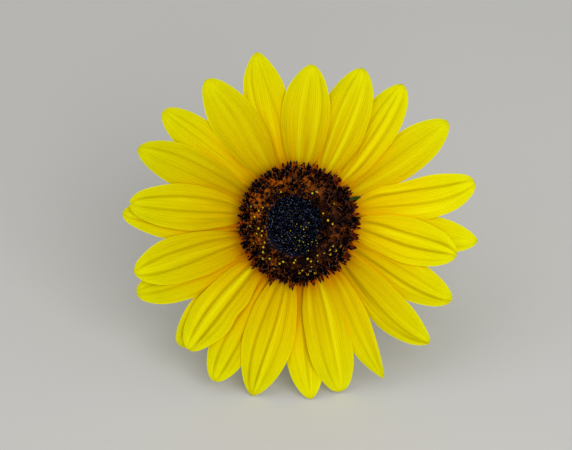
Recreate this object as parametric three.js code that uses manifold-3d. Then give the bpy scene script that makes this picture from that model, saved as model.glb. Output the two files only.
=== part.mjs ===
// A single cut sunflower: 24 yellow petals round a dark disc, on a short stem that lies on a table.
// Millimetres, +Z up. The head faces the -Y side and leans back, and the stem runs out behind it along +Y.
// The origin is on the table, under the middle of the whole flower.

import * as THREE from "three";
import { mergeVertices } from "three/addons/utils/BufferGeometryUtils.js";
import Module from "manifold-3d";

const wasm = await Module();
wasm.setup();

// The head: where its centre stands, and how far its face is turned up from looking level.
const HEAD_CENTRE_Y = -69.8;
const HEAD_CENTRE_Z = 61.86;
const FACE_TILT = THREE.MathUtils.degToRad(35);

// Petals. Heights in the head are measured along its axis, from the plane where the petals spread.
const BLADE_THICKNESS = 0.75;
const PETAL_SEAT_RADIUS = 19.65;
const PETAL_SEAT_HEIGHT = -3.8;
const PETAL_ARCH_RISE = 16.6;
const PETAL_ARCH_FALL = 17.8;
const PETAL_ARCH_REACH = 50;
const PETAL_CLAW_WIDTH = 4;
const PETAL_CLAW_POWER = 6;
const PETAL_TIP_WIDTH = 0.8;
const PETAL_BASE_FULLNESS = 0.42;
const PETAL_BEND_POWER = 6;
const PETAL_BOW_POWER = 1.6;
const PETAL_GROOVE_DEPTH = 0.4;
const PETAL_GROOVE_PLACE = 1 / 3;
const PETAL_GROOVE_SPREAD = 0.12;
const PETAL_ROWS = [0, 0.07, 0.18, 0.32, 0.47, 0.62, 0.76, 0.88, 0.965, 1];
const PETAL_COLUMNS = [-1, -2 / 3, -1 / 3, 0, 1 / 3, 2 / 3, 1];

// Receptacle, the green cup under the disc. Its profile is radius and height, from the top's middle to the neck.
const RECEPTACLE_RADIUS = 19.3;
const RECEPTACLE_PROFILE = [
  [0, -1.5],
  [18.6, -1.5],
  [RECEPTACLE_RADIUS, -2.2],
  [RECEPTACLE_RADIUS, -8.2],
  [17.2, -10.6],
  [12.4, -13],
  [7.4, -14.6],
  [5.8, -16],
  [0, -16],
];
const RECEPTACLE_SIDES = 40;

// Bracts, the pointed green leaves behind the petals, in two rows.
// Each path is radius and height at the root, on the way and at the tip.
const BRACTS_IN_ROW = 13;
const BRACT_WIDTH = 9.4;
const BRACT_KEEL = 0.5;
const BRACT_TIP_WIDTH = 0.8;
const BRACT_ROOT_FULLNESS = 0.8;
const BRACT_SWELL = 0.6;
const BRACT_TAPER = 0.8;
const BRACT_TURN = 26;
const BRACT_SWAY = 5;
const BRACT_LENGTH_SPREAD = 0.1;
const INNER_BRACT_PATH = [[17.6, -7.6], [30, -7.4], [41, -8.4]];
const OUTER_BRACT_PATH = [[16.2, -9.6], [29, -10.2], [36, -14]];
const BRACT_ROWS = [0, 0.3, 0.6, 0.86, 1];
const BRACT_COLUMNS = [-1, 0, 1];

// The disc: unopened buds in the middle and open florets round them, both set out on a sunflower's spiral.
const GOLDEN_ANGLE = Math.PI * (3 - Math.sqrt(5));
const DISC_UNDERSIDE = -1.2;
const BUD_BED_RADIUS = 11.5;
const BUD_BED_TOP = 1.1;
const BUD_DISH = 0.9;
const BUD_SPACING = 0.98;
const BUD_WIDTH = 1.5;
const BUD_HEIGHT = 1.5;
const BUD_SIDES = 5;
const FLORET_BED_INNER_RADIUS = 11.85;
const FLORET_BED_OUTER_RADIUS = 19;
const FLORET_BED_TOP = 0.5;
const FLORET_SPACING = 0.99;
const FLORET_ROOT_INNER = 12.9;
const FLORET_ROOT_OUTER = 18.2;
const FLORET_TIP_INNER = 13.0;
const FLORET_TIP_OUTER = 24.6;
const FLORET_HEIGHT_INNER = 5.2;
const FLORET_HEIGHT_OUTER = 4.3;
const FLORET_HEIGHT_SPREAD = 0.5;
const FLORET_ROOT_WIDTH = 1.3;
const FLORET_COLLAR_WIDTH = 2;
const FLORET_COLLAR_PLACE = 0.74;
const FLORET_SIDES = 4;
const DISC_SIDES = 48;
const ROOT_DEPTH = 0.7;

// The stem: it leaves the neck along the head's axis, bends once and lies along the table.
const STEM_HALF_THICKNESS = 5;
const STEM_SIDES = 12;
const STEM_TOP = -16.3;
const STEM_BEND_LEG = 50;
const STEM_LYING_LENGTH = 45;
const STEM_STEPS = 18;

// One line for each petal, clockwise from the top.
// turn: where its tip and its root lie round the head, in degrees anticlockwise from the right.
// size: the tip's distance from the head's axis, and the petal's width.
// shape: where along its length it is widest, how pointed its tip is, and how far it bows sideways, clockwise.
// lie: how far it is lifted towards the viewer, the slope that raises its clockwise edge, and its tip's bend.
const PETALS = [
  { turn: [103, 106], size: [70.8, 17.6], shape: [0.56, 0.62, -0.2], lie: [-1.2, 0, 1] },
  { turn: [85, 87], size: [64.2, 19.6], shape: [0.54, 0.6, 0], lie: [1.3, 0, -0.8] },
  { turn: [66.8, 64], size: [67.4, 19.2], shape: [0.55, 0.56, -0.2], lie: [0, 0.2, 0.5] },
  { turn: [52.5, 46], size: [69.8, 16.2], shape: [0.6, 0.55, -0.6], lie: [0, 0.2, 1.2] },
  { turn: [33.6, 32], size: [73, 17.2], shape: [0.6, 0.55, 0], lie: [0, 0.18, -1] },
  { turn: [13.2, 13.5], size: [72.7, 16.8], shape: [0.62, 0.42, 2.2], lie: [-0.6, 0.05, -0.5] },
  { turn: [-4.8, 4], size: [72.3, 15.6], shape: [0.6, 0.58, 2.2], lie: [-2.5, 0, 1] },
  { turn: [-11.5, -4], size: [64.8, 18.3], shape: [0.56, 0.5, 0.4], lie: [1.6, 0, 0.6] },
  { turn: [-26.4, -23.4], size: [69.4, 16.4], shape: [0.58, 0.54, 1.3], lie: [-1.2, 0, -1] },
  { turn: [-41.6, -38], size: [71.2, 16.8], shape: [0.56, 0.58, 2.6], lie: [-0.15, -0.2, 0.8] },
  { turn: [-60.5, -54.5], size: [70.6, 14.2], shape: [0.5, 0.74, 2.2], lie: [-0.3, -0.2, -2.6] },
  { turn: [-75.7, -72.8], size: [70, 18.2], shape: [0.53, 0.42, 0.6], lie: [1.3, 0.12, -5] },
  { turn: [-85.8, -88], size: [70.8, 16.2], shape: [0.58, 0.58, 0.3], lie: [-2.2, 0, 1.8] },
  { turn: [-104.4, -104], size: [71.6, 20], shape: [0.54, 0.62, 0], lie: [1.3, 0, -3.1] },
  { turn: [-117.8, -120.3], size: [72, 17.3], shape: [0.6, 0.5, 0.3], lie: [-1.2, 0, 0.6] },
  { turn: [-131, -136], size: [67.2, 17.8], shape: [0.58, 0.5, 0], lie: [1.5, 0, 0.4] },
  { turn: [-134.3, -141.5], size: [68.6, 15.3], shape: [0.6, 0.45, -0.9], lie: [-2.6, 0, 0.8] },
  { turn: [-157, -149], size: [70.6, 16], shape: [0.6, 0.45, 0], lie: [-0.6, 0, -1.2] },
  { turn: [-163.3, -162], size: [68.6, 18.9], shape: [0.58, 0.52, 0.4], lie: [1.3, 0, 0.8] },
  { turn: [176.8, 181], size: [71, 16], shape: [0.6, 0.55, 0.6], lie: [-2.4, 0, 1] },
  { turn: [173.5, 169.5], size: [68.4, 18.4], shape: [0.56, 0.5, 0], lie: [1.3, 0, -0.6] },
  { turn: [154.9, 153.4], size: [71.2, 16.8], shape: [0.58, 0.52, 0.6], lie: [-1.2, 0, 0.5] },
  { turn: [140.1, 137], size: [70.9, 15.8], shape: [0.6, 0.5, -0.5], lie: [0, -0.2, -1.2] },
  { turn: [122.6, 120.3], size: [68.5, 18.8], shape: [0.56, 0.54, 0], lie: [1.3, 0, 0.4] },
];

const YELLOW = new THREE.MeshStandardMaterial({ color: 0xe0cf00, roughness: 0.55, metalness: 0 });
const GREEN = new THREE.MeshStandardMaterial({ color: 0x5c7a2a, roughness: 0.7, metalness: 0 });
const STEM_GREEN = new THREE.MeshStandardMaterial({ color: 0x6f8f3a, roughness: 0.65, metalness: 0 });
const BUD_BLACK = new THREE.MeshStandardMaterial({ color: 0x171a22, roughness: 0.8, metalness: 0 });
const FLORET_BROWN = new THREE.MeshStandardMaterial({ color: 0x7a3a0a, roughness: 0.8, metalness: 0 });

// A small generator of repeatable random numbers from 0 to 1.
function seededRandom(seed) {
  let state = seed;
  return () => {
    state = (state * 1664525 + 1013904223) % 4294967296;
    return state / 4294967296;
  };
}

// A closed mesh of indexed points, faces out.
function indexedGeometry(points, triangles) {
  const geometry = new THREE.BufferGeometry();
  const coordinates = points.flatMap((point) => point.toArray());
  geometry.setAttribute("position", new THREE.Float32BufferAttribute(coordinates, 3));
  geometry.setIndex(triangles.flat());
  return geometry;
}

function toSolid(geometry) {
  const bare = geometry.clone();
  bare.deleteAttribute("normal");
  bare.deleteAttribute("uv");
  const welded = mergeVertices(bare, 1e-4);
  return new wasm.Manifold(
    new wasm.Mesh({
      numProp: 3,
      vertProperties: new Float32Array(welded.attributes.position.array),
      triVerts: new Uint32Array(welded.index.array),
    }),
  );
}

function fromSolid(solid) {
  const mesh = solid.getMesh();
  const geometry = new THREE.BufferGeometry();
  geometry.setAttribute("position", new THREE.BufferAttribute(mesh.vertProperties, 3));
  geometry.setIndex(new THREE.BufferAttribute(mesh.triVerts, 1));
  return geometry;
}

function fuse(body, pieces) {
  return fromSolid(pieces.reduce((sum, piece) => sum.add(toSolid(piece)), toSolid(body)));
}

// A thin leaf of even thickness. frontAt gives its front face at each row from root to tip and each column
// across, anticlockwise edge first, and both faces are split into the same triangles.
function blade(rows, columns, frontAt) {
  const front = rows.flatMap((along) => columns.map((across) => frontAt(along, across)));
  const back = front.map((p) => new THREE.Vector3(p.x, p.y, p.z - BLADE_THICKNESS));
  const perRow = columns.length;
  const lastRow = rows.length - 1;
  const lastColumn = perRow - 1;
  const behind = front.length;
  const triangles = [];
  const at = (row, column) => row * perRow + column;
  for (let row = 0; row < lastRow; row++) {
    for (let column = 0; column < lastColumn; column++) {
      const near = at(row, column);
      const nearRight = at(row, column + 1);
      const far = at(row + 1, column);
      const farRight = at(row + 1, column + 1);
      triangles.push([near, nearRight, far], [nearRight, farRight, far]);
      triangles.push([near + behind, far + behind, nearRight + behind]);
      triangles.push([nearRight + behind, far + behind, farRight + behind]);
    }
  }
  const rim = [
    ...Array.from({ length: lastColumn }, (_, i) => at(0, i)),
    ...Array.from({ length: lastRow }, (_, i) => at(i, lastColumn)),
    ...Array.from({ length: lastColumn }, (_, i) => at(lastRow, lastColumn - i)),
    ...Array.from({ length: lastRow }, (_, i) => at(lastRow - i, 0)),
  ];
  rim.forEach((here, i) => {
    const next = rim[(i + 1) % rim.length];
    triangles.push([here, here + behind, next], [next, here + behind, next + behind]);
  });
  return indexedGeometry([...front, ...back], triangles);
}

// A petal's middle line in the plane of the head, from its seat to its tip.
function petalMiddle(petal, along) {
  const [tip, root] = petal.turn;
  const [reach] = petal.size;
  const [, , bow] = petal.shape;
  const radius = THREE.MathUtils.lerp(PETAL_SEAT_RADIUS, reach, along);
  const turn = THREE.MathUtils.degToRad(THREE.MathUtils.lerp(root, tip, along));
  const side = bow * Math.sin(Math.PI * along ** PETAL_BOW_POWER);
  return new THREE.Vector2(
    radius * Math.cos(turn) + side * Math.sin(turn),
    radius * Math.sin(turn) - side * Math.cos(turn),
  );
}

function petalHalfWidth(petal, along) {
  const [, width] = petal.size;
  const [widest, point] = petal.shape;
  const swell = Math.sin(Math.PI * along ** (Math.log(0.5) / Math.log(widest)));
  const fullness = along < widest ? PETAL_BASE_FULLNESS : point;
  const claw = (PETAL_CLAW_WIDTH / 2) * (1 - along) ** PETAL_CLAW_POWER;
  return Math.max((width / 2) * Math.max(swell, 0) ** fullness, claw, PETAL_TIP_WIDTH / 2);
}

function petalGeometry(petal) {
  const [lift, roll, bend] = petal.lie;
  return blade(PETAL_ROWS, PETAL_COLUMNS, (along, across) => {
    const step = 0.01;
    const middle = petalMiddle(petal, along);
    const ahead = petalMiddle(petal, Math.min(1, along + step));
    const outward = ahead.sub(petalMiddle(petal, Math.max(0, along - step))).normalize();
    const sideways = petalHalfWidth(petal, along) * across;
    const x = middle.x + outward.y * sideways;
    const y = middle.y - outward.x * sideways;
    const spread = (Math.hypot(x, y) - PETAL_SEAT_RADIUS) / PETAL_ARCH_REACH;
    const arch = PETAL_ARCH_RISE * spread - PETAL_ARCH_FALL * spread ** 2;
    const groove = Math.exp(-(((Math.abs(across) - PETAL_GROOVE_PLACE) / PETAL_GROOVE_SPREAD) ** 2));
    const lie = lift + roll * sideways + bend * along ** PETAL_BEND_POWER;
    return new THREE.Vector3(x, y, PETAL_SEAT_HEIGHT + arch + lie - PETAL_GROOVE_DEPTH * groove);
  });
}

function bractGeometry(path, turn, stretch) {
  const line = new THREE.QuadraticBezierCurve(...path.map((point) => new THREE.Vector2(...point)));
  const outward = new THREE.Vector2(Math.cos(turn), Math.sin(turn));
  return blade(BRACT_ROWS, BRACT_COLUMNS, (along, across) => {
    const point = line.getPoint(along);
    const radius = path[0][0] + (point.x - path[0][0]) * stretch;
    const leaf = Math.cos((Math.PI / 2) * along) ** BRACT_TAPER * (BRACT_ROOT_FULLNESS + BRACT_SWELL * along);
    const sideways = Math.max((BRACT_WIDTH / 2) * leaf, BRACT_TIP_WIDTH / 2) * across;
    const keel = BRACT_KEEL * (1 - Math.abs(across));
    return new THREE.Vector3(
      outward.x * radius + outward.y * sideways,
      outward.y * radius - outward.x * sideways,
      point.y - keel,
    );
  });
}

function receptacleGeometry() {
  const random = seededRandom(7);
  // The profile runs from the neck up to the top's middle, so that the faces point out.
  const profile = RECEPTACLE_PROFILE.toReversed().map((point) => new THREE.Vector2(...point));
  const cup = new THREE.LatheGeometry(profile, RECEPTACLE_SIDES).rotateX(Math.PI / 2);
  const bracts = [INNER_BRACT_PATH, OUTER_BRACT_PATH].flatMap((path, row) =>
    Array.from({ length: BRACTS_IN_ROW }, (_, i) => {
      const sway = i === 0 ? 0 : (random() - 0.5) * BRACT_SWAY;
      const turn = BRACT_TURN + ((i + row / 2) * 360) / BRACTS_IN_ROW + sway;
      const stretch = 1 + (random() - 0.5) * 2 * BRACT_LENGTH_SPREAD;
      return bractGeometry(path, THREE.MathUtils.degToRad(turn), stretch);
    }),
  );
  return fuse(cup, bracts);
}

// A closed ring or plate round the head's axis from a profile of radius and height, faces out.
function plate(innerRadius, outerRadius, bottom, top) {
  const profile = [
    new THREE.Vector2(innerRadius, bottom),
    new THREE.Vector2(outerRadius, bottom),
    new THREE.Vector2(outerRadius, top),
    new THREE.Vector2(innerRadius, top),
  ];
  if (innerRadius > 0) profile.push(profile[0].clone());
  return new THREE.LatheGeometry(profile, DISC_SIDES).rotateX(Math.PI / 2);
}

// A small tapered column. levels are [share of the way from root to tip, width], and the last is its point.
function spike(root, tip, levels, sides, twist) {
  const axis = tip.clone().sub(root);
  const lean = new THREE.Quaternion().setFromUnitVectors(new THREE.Vector3(0, 0, 1), axis.clone().normalize());
  const points = levels.slice(0, -1).flatMap(([share, width]) =>
    Array.from({ length: sides }, (_, i) => {
      const angle = twist + (i * 2 * Math.PI) / sides;
      const edge = new THREE.Vector3(Math.cos(angle), Math.sin(angle), 0).multiplyScalar(width / 2);
      return edge.applyQuaternion(lean).add(root).addScaledVector(axis, share);
    }),
  );
  const apex = points.length;
  const triangles = [];
  for (let i = 0; i < sides; i++) {
    const next = (i + 1) % sides;
    for (let ring = 0; ring < levels.length - 2; ring++) {
      const low = ring * sides;
      const high = low + sides;
      triangles.push([low + i, low + next, high + next], [low + i, high + next, high + i]);
    }
    triangles.push([apex - sides + i, apex - sides + next, apex]);
    if (i > 0 && i < sides - 1) triangles.push([0, i + 1, i]);
  }
  return indexedGeometry([...points, tip], triangles);
}

// The points of a sunflower's spiral, as radius and turn, out to a radius.
function spiral(spacing, outerRadius) {
  const count = Math.floor((outerRadius / spacing) ** 2);
  return Array.from({ length: count }, (_, i) => {
    return { radius: spacing * Math.sqrt(i + 0.5), turn: i * GOLDEN_ANGLE };
  });
}

function onHead(radius, turn, height) {
  return new THREE.Vector3(radius * Math.cos(turn), radius * Math.sin(turn), height);
}

function discBudsGeometry() {
  const levels = [[0, BUD_WIDTH], [1, 0]];
  const buds = spiral(BUD_SPACING, BUD_BED_RADIUS - BUD_WIDTH / 2).map(({ radius, turn }) => {
    const dip = BUD_DISH * (1 - (radius / BUD_BED_RADIUS) ** 2);
    const root = onHead(radius, turn, BUD_BED_TOP - ROOT_DEPTH);
    const tip = onHead(radius, turn, BUD_BED_TOP + BUD_HEIGHT - dip);
    return spike(root, tip, levels, BUD_SIDES, turn);
  });
  return fuse(plate(0, BUD_BED_RADIUS, DISC_UNDERSIDE, BUD_BED_TOP), buds);
}

function discFloretsGeometry() {
  const random = seededRandom(11);
  const levels = [[0, FLORET_ROOT_WIDTH], [FLORET_COLLAR_PLACE, FLORET_COLLAR_WIDTH], [1, 0]];
  const florets = spiral(FLORET_SPACING, FLORET_ROOT_OUTER)
    .filter(({ radius }) => radius > FLORET_ROOT_INNER)
    .map(({ radius, turn }) => {
      const share = (radius - FLORET_ROOT_INNER) / (FLORET_ROOT_OUTER - FLORET_ROOT_INNER);
      const reach = THREE.MathUtils.lerp(FLORET_TIP_INNER, FLORET_TIP_OUTER, share);
      const height = THREE.MathUtils.lerp(FLORET_HEIGHT_INNER, FLORET_HEIGHT_OUTER, share);
      const root = onHead(radius, turn, FLORET_BED_TOP - ROOT_DEPTH);
      const tip = onHead(reach, turn, height + (random() - 0.5) * FLORET_HEIGHT_SPREAD);
      return spike(root, tip, levels, FLORET_SIDES, random() * Math.PI);
    });
  const bed = plate(FLORET_BED_INNER_RADIUS, FLORET_BED_OUTER_RADIUS, DISC_UNDERSIDE, FLORET_BED_TOP);
  return fuse(bed, florets);
}

// The stem's section is a polygon with flat sides below and beside it, so that it lies on a flat.
function stemGeometry() {
  const axisDown = new THREE.Vector3(0, Math.cos(FACE_TILT), -Math.sin(FACE_TILT));
  const top = new THREE.Vector3(0, HEAD_CENTRE_Y, HEAD_CENTRE_Z).addScaledVector(axisDown, -STEM_TOP);
  const slope = (top.z - STEM_HALF_THICKNESS) / Math.sin(FACE_TILT);
  const corner = top.clone().addScaledVector(axisDown, slope);
  const bendStart = corner.clone().addScaledVector(axisDown, -STEM_BEND_LEG);
  const bendEnd = corner.clone().add(new THREE.Vector3(0, STEM_BEND_LEG, 0));
  const cut = bendEnd.clone().add(new THREE.Vector3(0, STEM_LYING_LENGTH, 0));
  const path = new THREE.CurvePath();
  path.add(new THREE.LineCurve3(top, bendStart));
  path.add(new THREE.QuadraticBezierCurve3(bendStart, corner, bendEnd));
  path.add(new THREE.LineCurve3(bendEnd, cut));
  const section = new THREE.Shape(
    Array.from({ length: STEM_SIDES }, (_, i) => {
      const angle = ((i + 0.5) * 2 * Math.PI) / STEM_SIDES;
      const corners = STEM_HALF_THICKNESS / Math.cos(Math.PI / STEM_SIDES);
      return new THREE.Vector2(corners * Math.cos(angle), corners * Math.sin(angle));
    }),
  );
  return new THREE.ExtrudeGeometry(section, { steps: STEM_STEPS, extrudePath: path });
}

function named(name, geometry, material) {
  const mesh = new THREE.Mesh(geometry, material);
  mesh.name = name;
  return mesh;
}

const head = new THREE.Group();
head.position.set(0, HEAD_CENTRE_Y, HEAD_CENTRE_Z);
head.rotation.x = Math.PI / 2 - FACE_TILT;
PETALS.forEach((petal, i) => {
  head.add(named(`ray_petal_${String(i + 1).padStart(2, "0")}`, petalGeometry(petal), YELLOW));
});
head.add(named("receptacle", receptacleGeometry(), GREEN));
head.add(named("disc_buds", discBudsGeometry(), BUD_BLACK));
head.add(named("disc_florets", discFloretsGeometry(), FLORET_BROWN));

const sunflower = new THREE.Group();
sunflower.add(head);
sunflower.add(named("stem", stemGeometry(), STEM_GREEN));

export default sunflower;
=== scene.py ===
# A cut sunflower lying on a table: fine petals, disc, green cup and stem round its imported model.
# Metres, +Z up. Sizes in millimetres carry MM. The head has a frame of its own: x to the right,
# y up the face, and its height along the head's axis, which points to the viewer.
import math
from functools import partial

import bpy
import numpy as np
from bpy.props import FloatProperty, FloatVectorProperty, IntProperty, PointerProperty
from mathutils import Matrix, Vector


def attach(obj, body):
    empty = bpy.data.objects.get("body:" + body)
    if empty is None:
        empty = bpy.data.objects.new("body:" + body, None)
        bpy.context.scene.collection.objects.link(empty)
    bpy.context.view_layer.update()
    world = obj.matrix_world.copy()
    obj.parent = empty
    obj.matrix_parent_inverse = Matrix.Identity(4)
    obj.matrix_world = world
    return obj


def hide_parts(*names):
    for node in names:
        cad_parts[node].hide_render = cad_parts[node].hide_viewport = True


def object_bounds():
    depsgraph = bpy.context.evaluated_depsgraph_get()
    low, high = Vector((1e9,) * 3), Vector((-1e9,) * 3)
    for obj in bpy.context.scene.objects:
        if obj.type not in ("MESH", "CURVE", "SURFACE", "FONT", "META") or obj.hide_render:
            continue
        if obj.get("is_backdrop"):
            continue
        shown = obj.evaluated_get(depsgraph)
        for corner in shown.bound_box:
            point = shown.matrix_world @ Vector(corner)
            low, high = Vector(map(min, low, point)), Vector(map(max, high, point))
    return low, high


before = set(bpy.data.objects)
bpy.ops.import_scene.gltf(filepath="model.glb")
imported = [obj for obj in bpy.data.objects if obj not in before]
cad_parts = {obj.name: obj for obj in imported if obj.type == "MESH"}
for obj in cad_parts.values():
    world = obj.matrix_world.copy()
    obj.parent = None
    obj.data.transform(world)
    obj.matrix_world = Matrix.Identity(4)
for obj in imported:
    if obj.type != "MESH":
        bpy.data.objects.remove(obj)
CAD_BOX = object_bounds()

bl_info = {
    "name": "Cut sunflower",
    "version": (1, 0, 0),
    "blender": (4, 5, 0),
    "location": "View3D > Sidebar > Sunflower",
    "description": "Builds a cut sunflower's petals, disc, green cup and stem, on a plain stage",
    "category": "Object",
}

MM = 0.001
BODY = "root"

# The head: where its centre stands, and how far its face is turned up from looking level.
HEAD_CENTRE = Vector((0, -69.8, 61.86)) * MM
FACE_TILT = math.radians(35)
HEAD = Matrix.Translation(HEAD_CENTRE) @ Matrix.Rotation(math.pi / 2 - FACE_TILT, 4, "X")

# Petals, in millimetres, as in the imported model.
SEAT_RADIUS = 19.65
SEAT_HEIGHT = -3.8
ARCH_RISE = 16.6
ARCH_FALL = 17.8
ARCH_REACH = 50
CLAW_WIDTH = 4
TIP_WIDTH = 0.8
BASE_FULLNESS = 0.46

# One entry for each petal, clockwise from the top.
# turn: where its tip and its root lie round the head, in degrees anticlockwise from the right.
# size: the tip's distance from the head's axis, and the petal's width.
# shape: where along its length it is widest, how pointed its tip is, and how far it bows sideways.
# lie: how far it is lifted, the slope that raises its clockwise edge, and its tip's bend.
# look: the depth of the nick in its tip, how much brighter or duller it is than the others, partly its own
# tone and partly painted light that mostly lightens the right side's petals and darkens the left side's,
# and how far the orange of its root spreads.
# sway: how far its folds move across it from root to tip, and how far they bow.
# dent: where its margin is drawn in, as the side, the place along it, how far, and the dent's width.
# folds: where its main folds lie across it, from -1 to 1, and how deep. Raised ribs are below zero.
PETALS = [
    dict(turn=(103.5, 106), size=(71, 17.8), shape=(0.56, 0.62, -0.2), lie=(-0.55, 0, 0.35),
         look=(0.3, 0, 0.1), sway=(-0.5, 0), folds=((-0.41, 0.5), (-0.52, -0.3), (0.32, 0.35))),
    dict(turn=(85, 87), size=(64.2, 19.6), shape=(0.54, 0.6, 0), lie=(0.6, 0, -0.1), look=(0.5, -0.1, 0.2),
         folds=((-0.21, -0.5), (0.43, -0.45), (0.1, 0.2), (0.66, 0.3))),
    dict(turn=(67.3, 64), size=(67.6, 19.6), shape=(0.55, 0.56, -0.2), lie=(0, 0.2, 0.5),
         look=(0, -0.05, 0.2), sway=(0.1, 0),
         folds=((-0.42, 0.4), (-0.24, -0.5), (0.18, 0.4), (0.33, -0.7))),
    dict(turn=(52.9, 45.2), size=(70, 16.6), shape=(0.6, 0.55, -0.6), lie=(0, 0.2, 1.2), look=(0, 0.04, 0.2),
         folds=((-0.45, 0.45), (-0.24, -0.4), (0.04, 0.4), (0.28, -0.45), (0.5, 0.35))),
    dict(turn=(34.1, 31.3), size=(73.2, 17.2), shape=(0.6, 0.55, 0), lie=(-0.3, 0, -0.7),
         look=(0.2, -0.05, 0.2), dent=(1, 0.08, 1.7, 0.045), folds=((-0.1, 0.25), (0.3, -0.3))),
    dict(turn=(13.3, 14.5), size=(73.2, 16.8), shape=(0.62, 0.42, 2.2), lie=(0.1, 0, -1.2),
         look=(0, 0.14, 0.3), sway=(0.3, 0), dent=(-1, 0.22, -2, 0.11), folds=((-0.45, 0.7), (0.2, 0.5))),
    dict(turn=(-5.6, 4), size=(72.8, 15), shape=(0.6, 0.58, 2.2), lie=(-1, 0, -0.5), look=(0, 0.12, 0.4),
         folds=((-0.1, 0.2), (0.6, 0.3))),
    dict(turn=(-11.5, -4), size=(64.8, 18.3), shape=(0.56, 0.5, 0.4), lie=(0.6, 0, 1.6), look=(0, 0.13, 0.33),
         sway=(0.2, 0.28), folds=((-0.39, 0.9), (0.2, 0.9), (0.64, 0.3))),
    dict(turn=(-26.4, -23.4), size=(69.4, 16.4), shape=(0.58, 0.54, 1.3), lie=(-0.55, 0, -1.65),
         look=(0.3, -0.01, 0.35), sway=(0.35, 0), folds=((-0.28, 0.35), (0.22, 0.8), (0.48, 0.3))),
    dict(turn=(-42.1, -38.9), size=(71.5, 15.4), shape=(0.56, 0.58, 2.6), lie=(-0.09, -0.2, 0.74),
         look=(0, -0.07, 0.37), folds=((-0.2, 0.2), (0.3, 0.6), (0.45, 0.55), (0.62, 0.5))),
    dict(turn=(-60.9, -55.4), size=(71.4, 12.3), shape=(0.5, 0.74, 2.2), lie=(-0.19, -0.2, -2.71),
         look=(0.3, 0.01, 0.45), folds=((0.1, 0.25), (-0.4, 0.2))),
    dict(turn=(-75.7, -72.8), size=(70, 18.2), shape=(0.53, 0.42, 0.6), lie=(0.6, 0.12, -4.3),
         look=(0, -0.05, 0.42), sway=(0.1, 0), folds=((-0.23, -0.5), (-0.1, 0.5), (0.41, 0.4))),
    dict(turn=(-85.8, -88), size=(70.8, 16.2), shape=(0.58, 0.58, 0.3), lie=(-1, 0, 0.6), look=(0, 0.12, 0.8),
         folds=((0, 0.4), (0.5, 0.3))),
    dict(turn=(-104.8, -104), size=(71.8, 20.2), shape=(0.54, 0.62, 0), lie=(0.6, 0, -2.4), look=(0, 0, 0.1),
         sway=(0.2, 0), folds=((-0.45, 0.35), (-0.07, 0.9), (0.46, 0.8), (-0.2, -0.3))),
    dict(turn=(-118, -120.3), size=(72, 17.4), shape=(0.6, 0.5, 0.3), lie=(-0.55, 0, -0.05),
         look=(0.4, -0.02, 0.5), folds=((-0.28, 0.7), (0.36, 0.6))),
    dict(turn=(-131, -136), size=(67.2, 17.8), shape=(0.58, 0.5, 0), lie=(0.6, 0, 1.3),
         look=(0.4, -0.02, 0.5), dent=(-1, 0.52, 1.1, 0.09),
         folds=((-0.27, 0.9), (0.12, -0.6), (0.33, 0.7), (-0.55, 0.3))),
    dict(turn=(-134.3, -141.5), size=(68.6, 15.3), shape=(0.6, 0.45, -0.9), lie=(-1, 0, -0.8),
         look=(0.3, 0.1, 0.85), folds=((-0.3, 0.4), (0.3, 0.4))),
    dict(turn=(-156.7, -149), size=(70.9, 16.4), shape=(0.6, 0.45, 0), lie=(-0.37, 0, -1.43),
         look=(0, -0.1, 0.55), folds=((-0.2, 0.5), (0.25, 0.4))),
    dict(turn=(-163.3, -162), size=(68.6, 18.9), shape=(0.58, 0.52, 0.4), lie=(0.6, 0, 1.5),
         look=(0, -0.12, 0.5), sway=(-0.38, 0), folds=((-0.27, 0.6), (0.41, 0.6), (0, -0.2))),
    dict(turn=(176.8, 181), size=(71, 16), shape=(0.6, 0.55, 0.6), lie=(-1, 0, -0.4), look=(0.3, 0, 0.6),
         folds=((-0.32, 0.4), (0.3, 0.3))),
    dict(turn=(173.5, 169.5), size=(68.4, 18.4), shape=(0.56, 0.5, 0), lie=(0.6, 0, 0.1),
         look=(1, -0.08, 0.2), sway=(-0.1, -0.05), folds=((-0.7, 0.2), (-0.15, 0.55), (0.45, 0.6))),
    dict(turn=(154.9, 153.4), size=(71.2, 16.8), shape=(0.58, 0.52, 0.6), lie=(-0.1, 0.15, -0.6),
         look=(0, -0.18, 0.2), folds=((-0.17, 0.2), (0.37, 0.35))),
    dict(turn=(140.1, 137), size=(70.9, 15.8), shape=(0.6, 0.5, -0.5), lie=(-0.2, 0, -1),
         look=(0.6, -0.02, 0.1), sway=(-0.1, 0), folds=((-0.02, 0.35), (0.39, 0.25))),
    dict(turn=(122.6, 120.3), size=(68.5, 18.8), shape=(0.56, 0.54, 0), lie=(0.6, 0, 1.1),
         look=(0, -0.14, 0.1), folds=((-0.14, -0.25), (0.32, -0.2), (0.1, 0.15))),
]

# The green cup's profile, as radius and height, and the bracts' paths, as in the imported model.
CUP_PROFILE = [
    (18.9, -1.4), (19.35, -2.4), (19.3, -8.2), (17.2, -10.6),
    (12.4, -13), (7.4, -14.8), (5.7, -16.4), (4.9, -18.5),
]
BRACTS_IN_ROW = 13
BRACT_TURN = 26
INNER_BRACT_PATH = [(17.6, -7.6), (30, -7.4), (41, -8.4)]
OUTER_BRACT_PATH = [(16.2, -9.6), (29, -10.2), (36, -14)]
# The first inner bract is the one whose tip shows between two petals.
SHOWN_BRACT_STRETCH = 0.48

# The stem, in millimetres: the height of its middle where it rests, how far behind the head's centre
# it starts, how far its bend reaches both ways, its straight end, and the width of its hairs.
STEM_REST = 5
STEM_TOP = 16.3
STEM_BEND = 50
STEM_TAIL = 45
HAIR_WIDTH = 0.035
# No hair is rooted lower than this, in millimetres, so that none reaches the table.
HAIR_LOWEST = 1.3

# The disc's beds, in millimetres: the radius and height of each top.
DISC_UNDERSIDE = -1.2
BUD_BED_RADIUS = 11.6
BUD_BED_TOP = 1.1
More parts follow.
